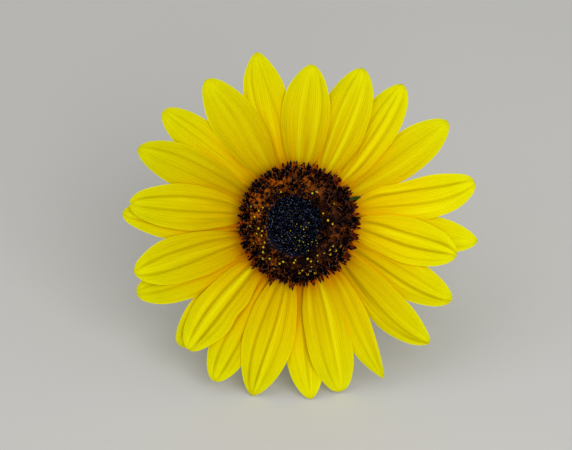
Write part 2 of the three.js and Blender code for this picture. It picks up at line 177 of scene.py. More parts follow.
# The bud bed is a ring whose hole is too narrow to be seen.
BUD_BED_HOLE = 0.01
FLORET_BED_HOLE = 11.85
FLORET_BED_RADIUS = 19
FLORET_BED_TOP = 0.5
# How far the dark middle lies off the disc's centre, and how much taller it is than wide.
DRIFT = (-1.9, -1)
MIDDLE_STRETCH = 0.12
# The florets follow both up to the first radius, and no longer from the second one on.
DRIFT_FROM = 12
DRIFT_TO = 19
GOLDEN_ANGLE = math.pi * (3 - math.sqrt(5))

# Where the middle of the picture lies in the head's frame, and how far the floor lies below the flower,
# both in millimetres.
PICTURE_CENTRE = (-4.8, -0.6)
FLOOR_DROP = 0.03

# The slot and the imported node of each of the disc's two parts.
BUDS = ("disc_bud", "disc_buds")
FLORETS = ("disc_floret", "disc_florets")
BUD_COUNT = 780
BRISTLE_COUNT = 1500
FLORET_COUNT = 525
RIM_COUNT = 98
CHAFF_COUNT = 150
# The bristles' spacing, as a share of the buds'.
BRISTLE_SPACING = 0.68
# The middle's buds, from root to tip in millimetres.
BUD_SPIRAL = dict(
    root_inner=0, root_outer=11.6, tip_inner=0, tip_outer=11.9, bed_height=0.2, height_inner=2.2,
    height_outer=4.2, height_spread=0.6, shape_height=2.2, to_radius=11.5, ragged=1.0, patch_size=2.5,
)
# Where the florets are still closed, so that their orange tubes show.
BARE_PLACE = dict(
    patch_size=2.2, focus_across=-13, focus_up=7, focus_reach=20, focus_pull=0.7,
    band_inner=12.8, band_outer=16.8,
)
BARE_LIMIT = 1.05
STARRED_LIMIT = 1.25
# Scales that hang over the petals, as turn in degrees and reach.
LONG_TIPS = [(-116, 27.4), (-118.5, 26.2), (-137, 26.4), (-139.5, 25.8), (-96, 26.6), (-98.5, 26)]


def srgb(red, green, blue):
    """A colour given as screen values from 0 to 255, in Blender's linear values, with full opacity."""
    linear = [((c / 255 + 0.055) / 1.055) ** 2.4 if c > 10 else c / 255 / 12.92 for c in (red, green, blue)]
    return (*linear, 1)


def mixed(first, second, share):
    """A colour between two others."""
    return tuple(a + (b - a) * share for a, b in zip(first, second))


THIN_BLADE = dict(Subsurface_Weight=0.25, Subsurface_Scale=0.8 * MM, Subsurface_Radius=(1, 0.9, 0.15))

Length = partial(FloatProperty, unit="LENGTH")
Power = partial(FloatProperty, unit="POWER")
Colour = partial(FloatVectorProperty, subtype="COLOR", size=4)


class SunflowerPetals(bpy.types.PropertyGroup):
    thickness: Length(name="Thickness", description="The blade's thickness in its middle", default=0.36 * MM)
    fold_depth: Length(
        name="Fold depth", description="Depth of the main folds along a petal", default=0.45 * MM
    )
    pleat_depth: Length(
        name="Pleat depth", description="Height of the three broad swells along a petal", default=0.3 * MM
    )
    small_folds: IntProperty(
        name="Small folds", description="Small folds drawn for each petal", default=7, min=0
    )
    ruffle: Length(name="Ruffle", description="How far a petal's edge waves up and down", default=0.35 * MM)
    vein_count: IntProperty(name="Veins", description="Fine veins across a petal", default=22, min=1)
    tip_colour: Colour(name="Tip", description="Colour of the outer half", default=srgb(238, 230, 0))
    middle_colour: Colour(name="Middle", description="Colour of the middle", default=srgb(238, 211, 0))
    base_colour: Colour(name="Base", description="Colour of the inner third", default=srgb(234, 184, 0))
    throat_colour: Colour(name="Throat", description="Colour next to the disc", default=srgb(244, 104, 0))
    # The grooves' colour is painted shade; the fine veins are tinted with it too.
    groove_colour: Colour(name="Groove", description="Colour in the grooves", default=srgb(176, 150, 0))
    back_colour: Colour(name="Back", description="Colour of the underside", default=srgb(226, 214, 70))


class SunflowerDisc(bpy.types.PropertyGroup):
    bud_spacing: Length(name="Bud spacing", description="Spacing of the spiral of buds", default=0.45 * MM)
    floret_spacing: Length(
        name="Floret spacing", description="Spacing of the spiral of florets", default=0.8 * MM
    )
    floret_width: Length(
        name="Floret width", description="Width across an open floret's lobes", default=3.2 * MM
    )
    seed: IntProperty(name="Seed", description="Changes every random draw in the disc", default=11)
    bud_colour: Colour(name="Bud", description="Colour of the closed buds", default=srgb(0, 3, 30))
    # The buds' blue-grey tips: partly a pale bloom, partly painted glints.
    bloom_and_glint_colour: Colour(
        name="Bloom and glint", description="Blue-grey bloom on the buds' tips", default=srgb(104, 118, 152)
    )
    tube_colour: Colour(name="Tube", description="Colour of the florets' tubes", default=srgb(216, 114, 4))
    ripe_colour: Colour(
        name="Ripe tube", description="Colour of the older florets' tubes", default=srgb(94, 48, 20)
    )
    lobe_colour: Colour(name="Lobe", description="Colour of the florets' lobes", default=srgb(12, 0, 3))
    stigma_colour: Colour(
        name="Stigma", description="Colour of the curled stigmas", default=srgb(140, 80, 40)
    )
    pollen_colour: Colour(name="Pollen", description="Colour of the pollen", default=srgb(238, 200, 10))


class SunflowerGreens(bpy.types.PropertyGroup):
    bract_width: Length(name="Bract width", description="A bract's width", default=9.4 * MM)
    stem_radius: Length(name="Stem radius", description="Half of the stem's thickness", default=5 * MM)
    stem_ridges: IntProperty(name="Ridges", description="Ridges round the stem", default=11, min=3)
    hair_length: Length(name="Hair length", description="Length of the hairs on the stem", default=1.1 * MM)
    hair_density: FloatProperty(
        name="Hair density", description="Hairs on a square metre of the stem", default=420000
    )
    bract_colour: Colour(name="Bract", description="Colour of the bracts", default=srgb(90, 126, 50))
    stem_colour: Colour(name="Stem", description="Colour of the stem", default=srgb(112, 142, 62))
    pith_colour: Colour(name="Pith", description="Colour of the stem's cut end", default=srgb(226, 228, 190))


class SunflowerStage(bpy.types.PropertyGroup):
    floor_size: Length(name="Floor size", description="Side of the floor", default=6.0)
    floor_colour: Colour(name="Floor", description="Colour of the floor", default=srgb(222, 221, 217))
    camera_distance: Length(name="Camera distance", description="From the petals to the camera", default=0.9)
    view_width: Length(name="View width", description="What the picture spans at the petals", default=0.2288)
    key_power: Power(name="Key light", description="The main light's power", default=7.2)
    fill_power: Power(name="Fill light", description="The fill light's power", default=3)
    sky_strength: FloatProperty(name="Sky", description="Strength of the even light all round", default=0.46)


# Nodes.


def feed(tree, socket, value):
    """Links an output to this input, or sets the input's own value."""
    if isinstance(value, bpy.types.NodeSocket):
        tree.links.new(value, socket)
    else:
        socket.default_value = value


def add(tree, kind, inputs=None, **settings):
    """Adds a node, beside the last one, with these settings and inputs. Returns its outputs."""
    node = tree.nodes.new(kind)
    node.location = (180 * len(tree.nodes), 0)
    for key, value in settings.items():
        setattr(node, key, value)
    for key, value in (inputs or {}).items():
        feed(tree, node.inputs[key], value)
    return node.outputs


def calc(tree, operation, *values):
    return add(tree, "ShaderNodeMath", dict(enumerate(values)), operation=operation)[0]


def times(tree, first, second):
    return calc(tree, "MULTIPLY", first, second)


def plus(tree, first, second):
    return calc(tree, "ADD", first, second)


def minus(tree, first, second):
    return calc(tree, "SUBTRACT", first, second)


def times_plus(tree, first, second, third):
    return calc(tree, "MULTIPLY_ADD", first, second, third)


def vector_calc(tree, operation, *values):
    return add(tree, "ShaderNodeVectorMath", dict(enumerate(values)), operation=operation)[0]


def scaled(tree, vector, amount):
    return add(tree, "ShaderNodeVectorMath", {0: vector, "Scale": amount}, operation="SCALE")[0]


def combine(tree, x, y, z):
    return add(tree, "ShaderNodeCombineXYZ", {0: x, 1: y, 2: z})[0]


def fit(tree, value, low, high, to_low=0.0, to_high=1.0):
    """Maps a value from one range to another, and stops at its ends."""
    return add(tree, "ShaderNodeMapRange", {0: value, 1: low, 2: high, 3: to_low, 4: to_high})[0]


def mix_colour(tree, factor, first, second):
    return add(tree, "ShaderNodeMix", {0: factor, 6: first, 7: second}, data_type="RGBA")[2]


def brighten(tree, colour, amount):
    return add(tree, "ShaderNodeHueSaturation", {"Value": amount, "Color": colour})[0]


def ramp(tree, value, stops):
    """Colours along a value. stops are (place, colour), from 0 to 1."""
    colour = add(tree, "ShaderNodeValToRGB", {0: value})[0]
    elements = colour.node.color_ramp.elements
    while len(elements) < len(stops):
        elements.new(0.5)
    for element, (place, shade) in zip(elements, stops):
        element.position = place
        element.color = tuple(shade)
    return colour


def noise(tree, vector, scale, detail=2.0, roughness=0.5):
    inputs = {"Vector": vector, "Scale": scale, "Detail": detail, "Roughness": roughness}
    return add(tree, "ShaderNodeTexNoise", inputs)[0]


def attribute(tree, name):
    return add(tree, "ShaderNodeAttribute", attribute_name=name)["Fac"]


def uv_place(tree, name):
    """A point's place across and along its piece, from the piece's own UV map."""
    uv = add(tree, "ShaderNodeUVMap", uv_map=name)[0]
    across, along, _ = add(tree, "ShaderNodeSeparateXYZ", {0: uv})
    return across, along


def object_place(tree):
    return add(tree, "ShaderNodeTexCoord")["Object"]


def bump(tree, height, distance):
    return add(tree, "ShaderNodeBump", {"Strength": 1.0, "Distance": distance, "Height": height})[0]


def shader_group(name, inputs, outputs):
    """An empty shader group with number outputs. An input is a name and its default, or None for a place."""
    tree = bpy.data.node_groups.new(name, "ShaderNodeTree")
    for label, default in inputs:
        kind = "NodeSocketVector" if default is None else "NodeSocketFloat"
        socket = tree.interface.new_socket(label, in_out="INPUT", socket_type=kind)
        if default is not None:
            socket.default_value = default
    for label in outputs:
        tree.interface.new_socket(label, in_out="OUTPUT", socket_type="NodeSocketFloat")
    return tree, add(tree, "NodeGroupInput")


def group(tree, name, build, inputs):
    """Places a shader group, built the first time it is asked for."""
    made = bpy.data.node_groups.get(name) or build()
    return add(tree, "ShaderNodeGroup", inputs, node_tree=made)


def growth_lines_group():
    """Lines that run from a leaf's or stem's root to its end: thin veins, and broader streaks of colour."""
    inputs = [("Across", 0.0), ("Along", 0.0), ("Veins", 20.0), ("Wander", 0.3), ("Streaks", 9.0)]
    tree, given = shader_group("Growth lines", inputs, ["Vein", "Streak"])
    across, along = given["Across"], given["Along"]
    place = combine(tree, times(tree, across, 5.0), along, 0.0)
    wander = times(tree, noise(tree, place, 2.0), given["Wander"])
    phase = plus(tree, times(tree, across, given["Veins"]), wander)
    wave = calc(tree, "COSINE", times(tree, phase, math.tau))
    vein = calc(tree, "POWER", fit(tree, wave, -1.0, 1.0), 3.0)
    place = combine(tree, times(tree, across, given["Streaks"]), along, 0.0)
    streak = noise(tree, place, 1.6, 3.0, 0.6)
    add(tree, "NodeGroupOutput", {"Vein": vein, "Streak": streak})
    return tree


def growth_lines(tree, across, along, veins, wander, streaks):
    inputs = {"Across": across, "Along": along, "Veins": veins, "Wander": wander, "Streaks": streaks}
    return group(tree, "Growth lines", growth_lines_group, inputs)


def mottling_group():
    """Soft patches and fine grain over a surface, from 0 to 1."""
    tree, given = shader_group("Mottling", [("Place", None), ("Scale", 300.0), ("Grain", 0.4)], ["Patch"])
    broad = noise(tree, given["Place"], given["Scale"], 2.0)
    fine = noise(tree, given["Place"], times(tree, given["Scale"], 6.0), 2.0)
    both = add(tree, "ShaderNodeMix", {0: given["Grain"], 2: broad, 3: fine})[0]
    add(tree, "NodeGroupOutput", {"Patch": fit(tree, both, 0.3, 0.7)})
    return tree


def mottling(tree, scale, grain=0.4):
    inputs = {"Place": object_place(tree), "Scale": scale, "Grain": grain}
    return group(tree, "Mottling", mottling_group, inputs)["Patch"]


def ripeness_group():
    """How brown the florets have turned, in patches, and more so towards the disc's lower right."""
    tree, given = shader_group("Ripeness", [("Place", None)], ["Ripe"])
    x, _, z = add(tree, "ShaderNodeSeparateXYZ", {0: given["Place"]})
    side = times_plus(tree, minus(tree, z, HEAD_CENTRE.z), -0.6, x)
    patches = fit(tree, noise(tree, given["Place"], 220.0), 0.35, 0.65, -0.35, 0.45)
    ripe = plus(tree, fit(tree, side, -14 * MM, 12 * MM), patches)
    add(tree, "NodeGroupOutput", {"Ripe": fit(tree, ripe, 0.0, 1.0)})
    return tree


def ripeness(tree):
    return group(tree, "Ripeness", ripeness_group, {"Place": object_place(tree)})["Ripe"]


def new_material(name, **constants):
    """A material with these values set. Returns it, its tree and a function that feeds its shader."""
    made = bpy.data.materials.new(name)
    made.use_nodes = True
    tree = made.node_tree
    shader = tree.nodes["Principled BSDF"]
    for key, value in constants.items():
        shader.inputs[key.replace("_", " ")].default_value = value
    return made, tree, lambda key, value: feed(tree, shader.inputs[key], value)


# Meshes.


def turned(radii, heights, sides, way=1):
    """Rows of points round an axis, one for each radius and height, and the points' angles."""
    angles = way * np.arange(sides) * math.tau / sides
    x, y = np.outer(radii, np.cos(angles)), np.outer(radii, np.sin(angles))
    height = np.broadcast_to(np.reshape(heights, (-1, 1)), x.shape)
    return np.stack([x, y, height], axis=-1), angles


def skin(rings):
    """Faces over rows of points. A row's end joins its start."""
    rows, columns = rings.shape[:2]
    index = np.arange(rows * columns).reshape(rows, columns)
    after = np.roll(index, -1, axis=1)
    quads = np.stack([index[:-1], after[:-1], after[1:], index[1:]], axis=-1)
    return [tuple(face) for face in quads.reshape(-1, 4).tolist()]


def capped(rings):
    """Faces over rows of points, and one across each end."""
    rows, columns = rings.shape[:2]
    return [*skin(rings), tuple(reversed(range(columns))), tuple(range((rows - 1) * columns, rows * columns))]


def blade_rings(front, back):
    """Rows that run along a blade's front and come back along its back."""
    return np.concatenate([front, back[:, ::-1]], axis=1)


def blade_faces(rings):
    """Faces over a blade's rows, and over both of its ends."""
    rows, columns = rings.shape[:2]
    pairs = [(j, columns - 1 - j) for j in range(columns // 2)]
    faces = skin(rings)
    for (front, back), (next_front, next_back) in zip(pairs, pairs[1:]):
        faces.append((front, back, next_back, next_front))
        faces.append(tuple((rows - 1) * columns + j for j in (front, next_front, next_back, back)))
    return faces


def blade_uv(across, along):
    """Each point's place across a blade, from 0 to 1, and along it."""
    return blade_rings(across, across) / 2 + 0.5, blade_rings(along, along)


def joined(sheets):
    """Several sheets as one. Each is its rows of points and its faces."""
    points, faces = [], []
    for rings, sheet_faces in sheets:
        start = sum(len(part) for part in points)
        points.append(rings.reshape(-1, 3))
        faces += [tuple(start + corner for corner in face) for face in sheet_faces]
    return np.concatenate(points), faces


def add_values(mesh, values):
    """Keeps a number for each point under each name."""
    for name, numbers in values.items():
        layer = mesh.attributes.new(name, "FLOAT", "POINT")
        layer.data.foreach_set("value", np.asarray(numbers, dtype=np.float32).ravel())


def add_uv(mesh, name, across, along):
    pairs = np.stack([across.ravel(), along.ravel()], axis=-1)
    corners = np.empty(len(mesh.loops), dtype=np.int32)
    mesh.loops.foreach_get("vertex_index", corners)
    mesh.uv_layers.new(name=name).data.foreach_set("uv", pairs[corners].astype(np.float32).ravel())


def in_scene(name, data):
    """A new object at the origin, linked to the scene."""
    made = bpy.data.objects.new(name, data)
    bpy.context.scene.collection.objects.link(made)
    return made


def new_object(name, points, faces, materials=()):
    """A smooth mesh object at the origin."""
    mesh = bpy.data.meshes.new(name)
    mesh.from_pydata(np.asarray(points).reshape(-1, 3).tolist(), [], faces)
    for made in materials:
        mesh.materials.append(made)
    mesh.shade_smooth()
    return in_scene(name, mesh)


def keep(piece, slot, *nodes):
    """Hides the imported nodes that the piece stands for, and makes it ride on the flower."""
    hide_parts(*nodes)
    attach(piece, BODY)


def smooth_step(low, high, value):
    share = np.clip((value - low) / (high - low), 0, 1)
    return share * share * (3 - 2 * share)


def curve(start, pull, end, share):
    """A place along a curve that leaves its start towards the pull and comes from there to its end."""
    return start * (1 - share) ** 2 + pull * 2 * share * (1 - share) + end * share**2


def sharpen(mesh, columns):
    """Keeps a blade's margin crisp, where its front meets its back."""
    ends = np.empty(len(mesh.edges) * 2, dtype=np.int32)
    mesh.edges.foreach_get("vertices", ends)
    column = ends.reshape(-1, 2) % columns
    along_row = column[:, 0] == column[:, 1]
    margin = np.isin(column[:, 0], (0, columns // 2 - 1, columns // 2, columns - 1))
    mesh.edges.foreach_set("use_edge_sharp", along_row & margin)


# Geometry Nodes.


def geometry_tree(name, sockets):
    """An empty tree with these inputs, given as name and kind. Returns it with its input sockets."""
    tree = bpy.data.node_groups.new(name, "GeometryNodeTree")
    for label, kind in sockets:
        tree.interface.new_socket(label, in_out="INPUT", socket_type="NodeSocket" + kind)
    tree.interface.new_socket("Geometry", in_out="OUTPUT", socket_type="NodeSocketGeometry")
    return tree, add(tree, "NodeGroupInput")


def end_tree(tree, geometry, material):
    real = add(tree, "GeometryNodeRealizeInstances", {0: geometry})[0]
    painted = add(tree, "GeometryNodeSetMaterial", {"Geometry": real, "Material": material})[0]
    add(tree, "NodeGroupOutput", {0: painted})


def geometry_of(tree, source):
    """The geometry of the object that an input names."""
    return add(tree, "GeometryNodeObjectInfo", {0: source})["Geometry"]


def store(tree, geometry, name, value, domain):
    """Keeps a number on the geometry under this name."""
    inputs = {"Geometry": geometry, "Name": name, "Value": value}
    return add(tree, "GeometryNodeStoreNamedAttribute", inputs, data_type="FLOAT", domain=domain)[0]


def draw(tree, low, high, index, seed, step):
    """A random number for each point. step keeps one draw apart from another."""
    inputs = {2: low, 3: high, "ID": index, "Seed": plus(tree, seed, step)}
    return add(tree, "FunctionNodeRandomValue", inputs, data_type="FLOAT")[1]


def grow(name, tree, inputs, place=None):
    """Runs a tree on an empty object, and keeps what comes out as a plain mesh."""
    piece = in_scene(name, bpy.data.meshes.new(name))
    modifier = piece.modifiers.new(tree.name, "NODES")
    modifier.node_group = tree
    sockets = {item.name: item.identifier for item in tree.interface.items_tree if item.in_out == "INPUT"}
    for label, value in inputs.items():
        modifier[sockets[label]] = value
    depsgraph = bpy.context.evaluated_depsgraph_get()
    mesh = bpy.data.meshes.new_from_object(
        piece.evaluated_get(depsgraph), preserve_all_data_layers=True, depsgraph=depsgraph
    )
    piece.modifiers.remove(modifier)
    piece.data = mesh
    if not mesh.polygons:
        raise RuntimeError(f"{name} came out empty")
    if place is not None:
        mesh.transform(place)
    mesh.shade_smooth()
    return piece


# Inputs of the tree that sets out the disc: name and default. Lengths are in millimetres here.
SPIRAL_LENGTHS = {
    "Spacing": 0.66, "Base radius": 0, "From radius": 0, "To radius": 30, "Ragged": 0,
    "Root inner": 12.2, "Root outer": 18.3, "Tip inner": 12.2, "Tip outer": 23.4,
    "Bed height": 0, "Height inner": 4.4, "Height outer": 4.4, "Height spread": 0.8, "Shape height": 5,
    "Shake": 0.1, "Lean": 0.5, "Drift across": DRIFT[0], "Drift up": DRIFT[1], "Patch size": 4,
    "Focus across": 0, "Focus up": 0, "Focus reach": 10, "Band inner": 0, "Band outer": 30,
}
SPIRAL_NUMBERS = {
    "Turn": 0.0, "Spin": math.tau, "Width low": 0.85, "Width high": 1.15, "Share": 1.0,
    "Patch low": -10.0, "Patch high": 10.0, "Focus pull": 0.0,
}


def spiral_tree():
    """Sets a shape out on a sunflower's spiral, each copy leaning from its root to its tip.

    Copies are kept where a patchy value lies between two limits. The focus raises that value round a place.
    """
    sockets = [("Shape", "Object"), ("Material", "Material"), ("Seed", "Int"), ("Count", "Int")]
    sockets += [(label, "Float") for label in (*SPIRAL_LENGTHS, *SPIRAL_NUMBERS)]
    tree, given = geometry_tree("Floret spiral", sockets)
    index = add(tree, "GeometryNodeInputIndex")[0]

    def random(low, high, step):
        return draw(tree, low, high, index, given["Seed"], step)

    def nudge(step, amount):
        """A random push sideways."""
        push = combine(tree, random(-1.0, 1.0, step), random(-1.0, 1.0, step + 1), 0.0)
        return scaled(tree, push, amount)

    # Roots on the spiral, tips further out, and the axis between them.
    step_out = times(tree, given["Spacing"], calc(tree, "SQRT", plus(tree, index, 0.5)))
    radius = plus(tree, given["Base radius"], step_out)
    turn = plus(tree, times(tree, index, GOLDEN_ANGLE), given["Turn"])
    outward = combine(tree, calc(tree, "COSINE", turn), calc(tree, "SINE", turn), 0.0)
    share = fit(tree, radius, given["Root inner"], given["Root outer"])
    reach = fit(tree, share, 0.0, 1.0, given["Tip inner"], given["Tip outer"])
    height = fit(tree, share, 0.0, 1.0, given["Height inner"], given["Height outer"])
    height = times_plus(tree, random(-0.5, 0.5, 1), given["Height spread"], height)
    shake = nudge(2, given["Shake"])
    root = scaled(tree, outward, radius)
    root = vector_calc(tree, "ADD", root, combine(tree, 0.0, 0.0, given["Bed height"]))
    root = vector_calc(tree, "ADD", root, shake)
    rise = minus(tree, height, given["Bed height"])
    axis = scaled(tree, outward, minus(tree, reach, radius))
    axis = vector_calc(tree, "ADD", axis, combine(tree, 0.0, 0.0, rise))
    length = add(tree, "ShaderNodeVectorMath", {0: axis}, operation="LENGTH")["Value"]
    axis = vector_calc(tree, "ADD", axis, nudge(4, given["Lean"]))
    drift = combine(tree, given["Drift across"], given["Drift up"], 0.0)
    inside = fit(tree, radius, DRIFT_FROM * MM, DRIFT_TO * MM, 1.0, 0.0)
    stretched = combine(tree, 1.0, times_plus(tree, inside, MIDDLE_STRETCH, 1.0), 1.0)
    root = vector_calc(tree, "MULTIPLY", root, stretched)
    root = vector_calc(tree, "ADD", root, scaled(tree, drift, inside))
    # Each copy faces outward, then spins about its own axis.
    upright = add(tree, "FunctionNodeAlignRotationToVector", {"Vector": axis}, axis="Z")[0]
    sideways = times(tree, calc(tree, "SINE", turn), -1.0)
    sideways = combine(tree, sideways, calc(tree, "COSINE", turn), 0.0)
    facing = {"Rotation": upright, "Vector": sideways}
    facing = add(tree, "FunctionNodeAlignRotationToVector", facing, axis="X", pivot_axis="Z")[0]
    spin = {"Axis": (0.0, 0.0, 1.0), "Angle": times(tree, random(-0.5, 0.5, 6), given["Spin"])}
    spun = add(tree, "FunctionNodeAxisAngleToRotation", spin)[0]
    rotation = add(tree, "FunctionNodeRotateRotation", {0: facing, 1: spun}, rotation_space="LOCAL")[0]
    width = random(given["Width low"], given["Width high"], 7)
    stretch = calc(tree, "DIVIDE", length, given["Shape height"])
    # Which copies are kept.
    over = vector_calc(tree, "DIVIDE", root, given["Patch size"])
    patch = fit(tree, noise(tree, over, 1.0, 1.0), 0.3, 0.7)
    focus = combine(tree, given["Focus across"], given["Focus up"], given["Bed height"])
    away = add(tree, "ShaderNodeVectorMath", {0: root, 1: focus}, operation="DISTANCE")["Value"]
    near = fit(tree, calc(tree, "DIVIDE", away, given["Focus reach"]), 1.0, 0.0)
    over_inner = fit(tree, radius, given["Band inner"], plus(tree, given["Band inner"], 1 * MM))
    near = times(tree, near, over_inner)
    near = times(tree, near, calc(tree, "LESS_THAN", radius, given["Band outer"]))
    patch = times_plus(tree, near, given["Focus pull"], patch)
    ragged = fit(tree, noise(tree, over, 2.7, 1.0), 0.3, 0.7, -1.0, 1.0)
    ragged = times_plus(tree, ragged, given["Ragged"], radius)
    tests = [
        calc(tree, "LESS_THAN", random(0.0, 1.0, 8), given["Share"]),
        calc(tree, "GREATER_THAN", ragged, given["From radius"]),
        calc(tree, "LESS_THAN", ragged, given["To radius"]),
        calc(tree, "GREATER_THAN", patch, given["Patch low"]),
        calc(tree, "LESS_THAN", patch, given["Patch high"]),
    ]
    kept = tests[0]
    for test in tests[1:]:
        kept = times(tree, kept, test)
    inputs = {
        "Points": add(tree, "GeometryNodePoints", {"Count": given["Count"], "Position": root})[0],
        "Selection": kept,
        "Instance": geometry_of(tree, given["Shape"]),
        "Rotation": rotation,
        "Scale": combine(tree, width, width, stretch),
    }
    copies = add(tree, "GeometryNodeInstanceOnPoints", inputs)[0]
    copies = store(tree, copies, "tone", random(0.0, 1.0, 9), "INSTANCE")
    end_tree(tree, copies, given["Material"])
    return tree


def spiral(name, part, shape, material, seed, count, **settings):
    """Makes a piece of the disc's part from copies of a shape. Lengths are in millimetres."""
    tree = bpy.data.node_groups.get("Floret spiral") or spiral_tree()
    chosen = {key.capitalize().replace("_", " "): value for key, value in settings.items()}
    inputs = {"Shape": shape, "Material": material, "Seed": seed, "Count": count}
    inputs |= {label: float(chosen.pop(label, value) * MM) for label, value in SPIRAL_LENGTHS.items()}
    inputs |= {label: float(chosen.pop(label, value)) for label, value in SPIRAL_NUMBERS.items()}
    if chosen:
        raise RuntimeError(f"{name} has unknown settings: {list(chosen)}")
    keep(grow(name, tree, inputs, HEAD), *part)
    bpy.data.objects.remove(shape)


# Shapes for copying.


def ringed_shape(name, levels, sides, tips=None):
    """A closed shape round an axis. levels are (height, radius, tip value), in millimetres.

    tips, if given, is a level whose even corners stand out as lobes: (level, height, radius).
    """
    heights, radii, marks = np.array(levels, dtype=float).T
    rings, _ = turned(radii, heights, sides)
    values = np.repeat(marks[:, None], sides, axis=1)
    if tips:
        row, height, radius = tips
        rings[row, ::2] = turned([radius], [height], sides // 2)[0]
        values[row, ::2] = 1
    made = new_object(name, rings * MM, capped(rings))
    add_values(made.data, {"tip": values})
    return made


def horn_shape():
    """A flat pointed scale."""
    levels = [(0, 0.5, -1), (2.6, 0.6, 0), (3.5, 0.62, 0.3), (4.2, 0.5, 0.7), (5, 0.02, 1)]
    horn = ringed_shape("horn", levels, 4)
    horn.data.transform(Matrix.Diagonal((1, 0.4, 1, 1)))
    return horn


def stigma_shape():
    """Two thin arms that part at the top of the anthers and curl back."""
    curl, curl_radius, foot_height = 3.9, 0.5, 5.4
    arms, tips = [], []
    for side in (1, -1):
        rings = []
        for step in range(6):
            share = step / 5
            turn = share * curl
            away = side * curl_radius * (1 - math.cos(turn))
            middle = Vector((away, 0.1 * side * share, foot_height + curl_radius * math.sin(turn)))
            slope = Vector((side * math.sin(turn), 0, math.cos(turn)))
            across = slope.cross(Vector((0, 1, 0)))
            radius = 0.15 * (1 - 0.6 * share)
            angles = (0, math.tau / 3, math.tau * 2 / 3)
            corners = [across * math.cos(angle) - Vector((0, math.sin(angle), 0)) for angle in angles]
            rings.append([middle + corner * radius for corner in corners])
            tips += [0.3 + 0.7 * share] * 3
        rings = np.array(rings)
        arms.append((rings, capped(rings)))
    points, faces = joined(arms)
    made = new_object("stigma", points * MM, faces)
    add_values(made.data, {"tip": tips})
    return made


def grain_shape(name, radius, height):
    """A lumpy grain of pollen that sits at a height above its root. Sizes in millimetres."""
    levels = [(-0.8, 0.45), (-0.2, 1), (0.45, 0.85), (0.9, 0.35)]
    return ringed_shape(name, [(height + radius * z, radius * r, 1) for z, r in levels], 7)


# Petals.


def petal_middle(petal, along):
    """A petal's middle line in the plane of the head."""
    tip_turn, root_turn = petal["turn"]
    reach = petal["size"][0]
    bow = petal["shape"][2]
    radius = SEAT_RADIUS + (reach - SEAT_RADIUS) * along
    turn = np.radians(root_turn + (tip_turn - root_turn) * along)
    side = bow * np.sin(np.pi * np.abs(along) ** 1.6)
    x = radius * np.cos(turn) + side * np.sin(turn)
    y = radius * np.sin(turn) - side * np.cos(turn)
    return np.stack([x, y], axis=-1)


def petal_line(petal, along):
    """A petal's middle line, and the way that it runs outward."""
    outward = petal_middle(petal, along + 0.01) - petal_middle(petal, along - 0.01)
    return petal_middle(petal, along), outward / np.linalg.norm(outward, axis=-1, keepdims=True)


def petal_half_width(petal, along, tip_width):
    width = petal["size"][1]
    widest, point, _ = petal["shape"]
    swell = np.sin(np.pi * along ** (math.log(0.5) / math.log(widest)))
    fullness = np.where(along < widest, BASE_FULLNESS, point)
    claw = CLAW_WIDTH / 2 * (1 - along) ** 6
    leaf = width / 2 * np.maximum(swell, 0) ** fullness
    return np.maximum.reduce([leaf, claw, np.full_like(along, tip_width / 2)])


def petal_height(petal, radius, aside, along):
    """The height of a petal without its relief, at a distance from the head's axis."""
    lift, roll, bend = petal["lie"]
    spread = (radius - SEAT_RADIUS) / ARCH_REACH
    arch = SEAT_HEIGHT + ARCH_RISE * spread - ARCH_FALL * spread**2
    return arch + lift + roll * aside + bend * along**6


def petal_margin(petal, across, along, half, random):
    """How far each side's margin strays from an even outline, in millimetres."""
    phases = random.uniform(0, math.tau, 4)
    first, second = np.where(across < 0, phases[0], phases[1]), np.where(across < 0, phases[2], phases[3])
    stray = 0.16 * np.sin(9 * along + first) + 0.1 * np.sin(17 * along + second)
    side, place, depth, width = petal.get("dent", (1, 0.5, 0, 1))
    stray = stray - depth * (across * side > 0) * np.exp(-(((along - place) / width) ** 2))
    return across * np.abs(across) * stray * np.minimum(half / 6, 1)


def petal_shade(number, x, y, height):
    """How near each point lies to the margin of a petal that covers this one, from 0 to 1: where the petal's
    face takes its warm painted shade.
    """
    shade = np.zeros_like(x)
    radius = np.hypot(x, y)
    for other, petal in enumerate(PETALS, start=1):
        if other == number:
            continue
        reach = petal["size"][0]
        along = np.clip((radius - SEAT_RADIUS) / (reach - SEAT_RADIUS), 0.001, 1)
        middle, outward = petal_line(petal, along)
        apart = (x - middle[..., 0]) * outward[..., 1] - (y - middle[..., 1]) * outward[..., 0]
        beyond = np.abs(apart) - petal_half_width(petal, along, TIP_WIDTH)
        same_side = x * outward[..., 0] + y * outward[..., 1] > 0
        near = np.exp(-np.maximum(beyond, 0) / 1.1) * same_side * (radius < reach)
        above = petal_height(petal, radius, apart, along) - height
        shade = np.maximum(shade, near * smooth_step(0, 0.5, above))
    return shade


def petal_folds(petal, props, across, along, half, random):
    """How deep each point lies in a groove, from the petal's main folds and small ones drawn at random."""
    small = [(random.uniform(-0.85, 0.85), random.uniform(-0.3, 0.3)) for _ in range(props.small_folds)]
    slope, bow = petal.get("sway", (0, 0))
    moved = slope * (along - 0.5) + bow * (np.sin(np.pi * along) - 0.8)
    depth = np.zeros(np.broadcast_shapes(across.shape, along.shape))
    for number, (place, share) in enumerate([*petal["folds"], *small]):
        main = number < len(petal["folds"])
        start = 0 if main else random.uniform(0, 0.5)
        end = 1.2 if main else start + random.uniform(0.3, 0.6)
        wander = 0.03 * np.sin(random.uniform(2, 5) * along + random.uniform(0, math.tau))
        broad = 0.42 + 0.25 * abs(share) if share > 0 else 0.7 + 0.6 * abs(share)
        width = np.clip(broad / half, 0.045, 0.3)
        line = share * np.exp(-(((across - place - moved - wander) / width) ** 2))
        fade = 1 - smooth_step(end - 0.2, end, along)
        depth = depth + line * smooth_step(start, start + 0.18, along) * fade
    return depth * (1 - 0.6 * smooth_step(0.84, 1, along))


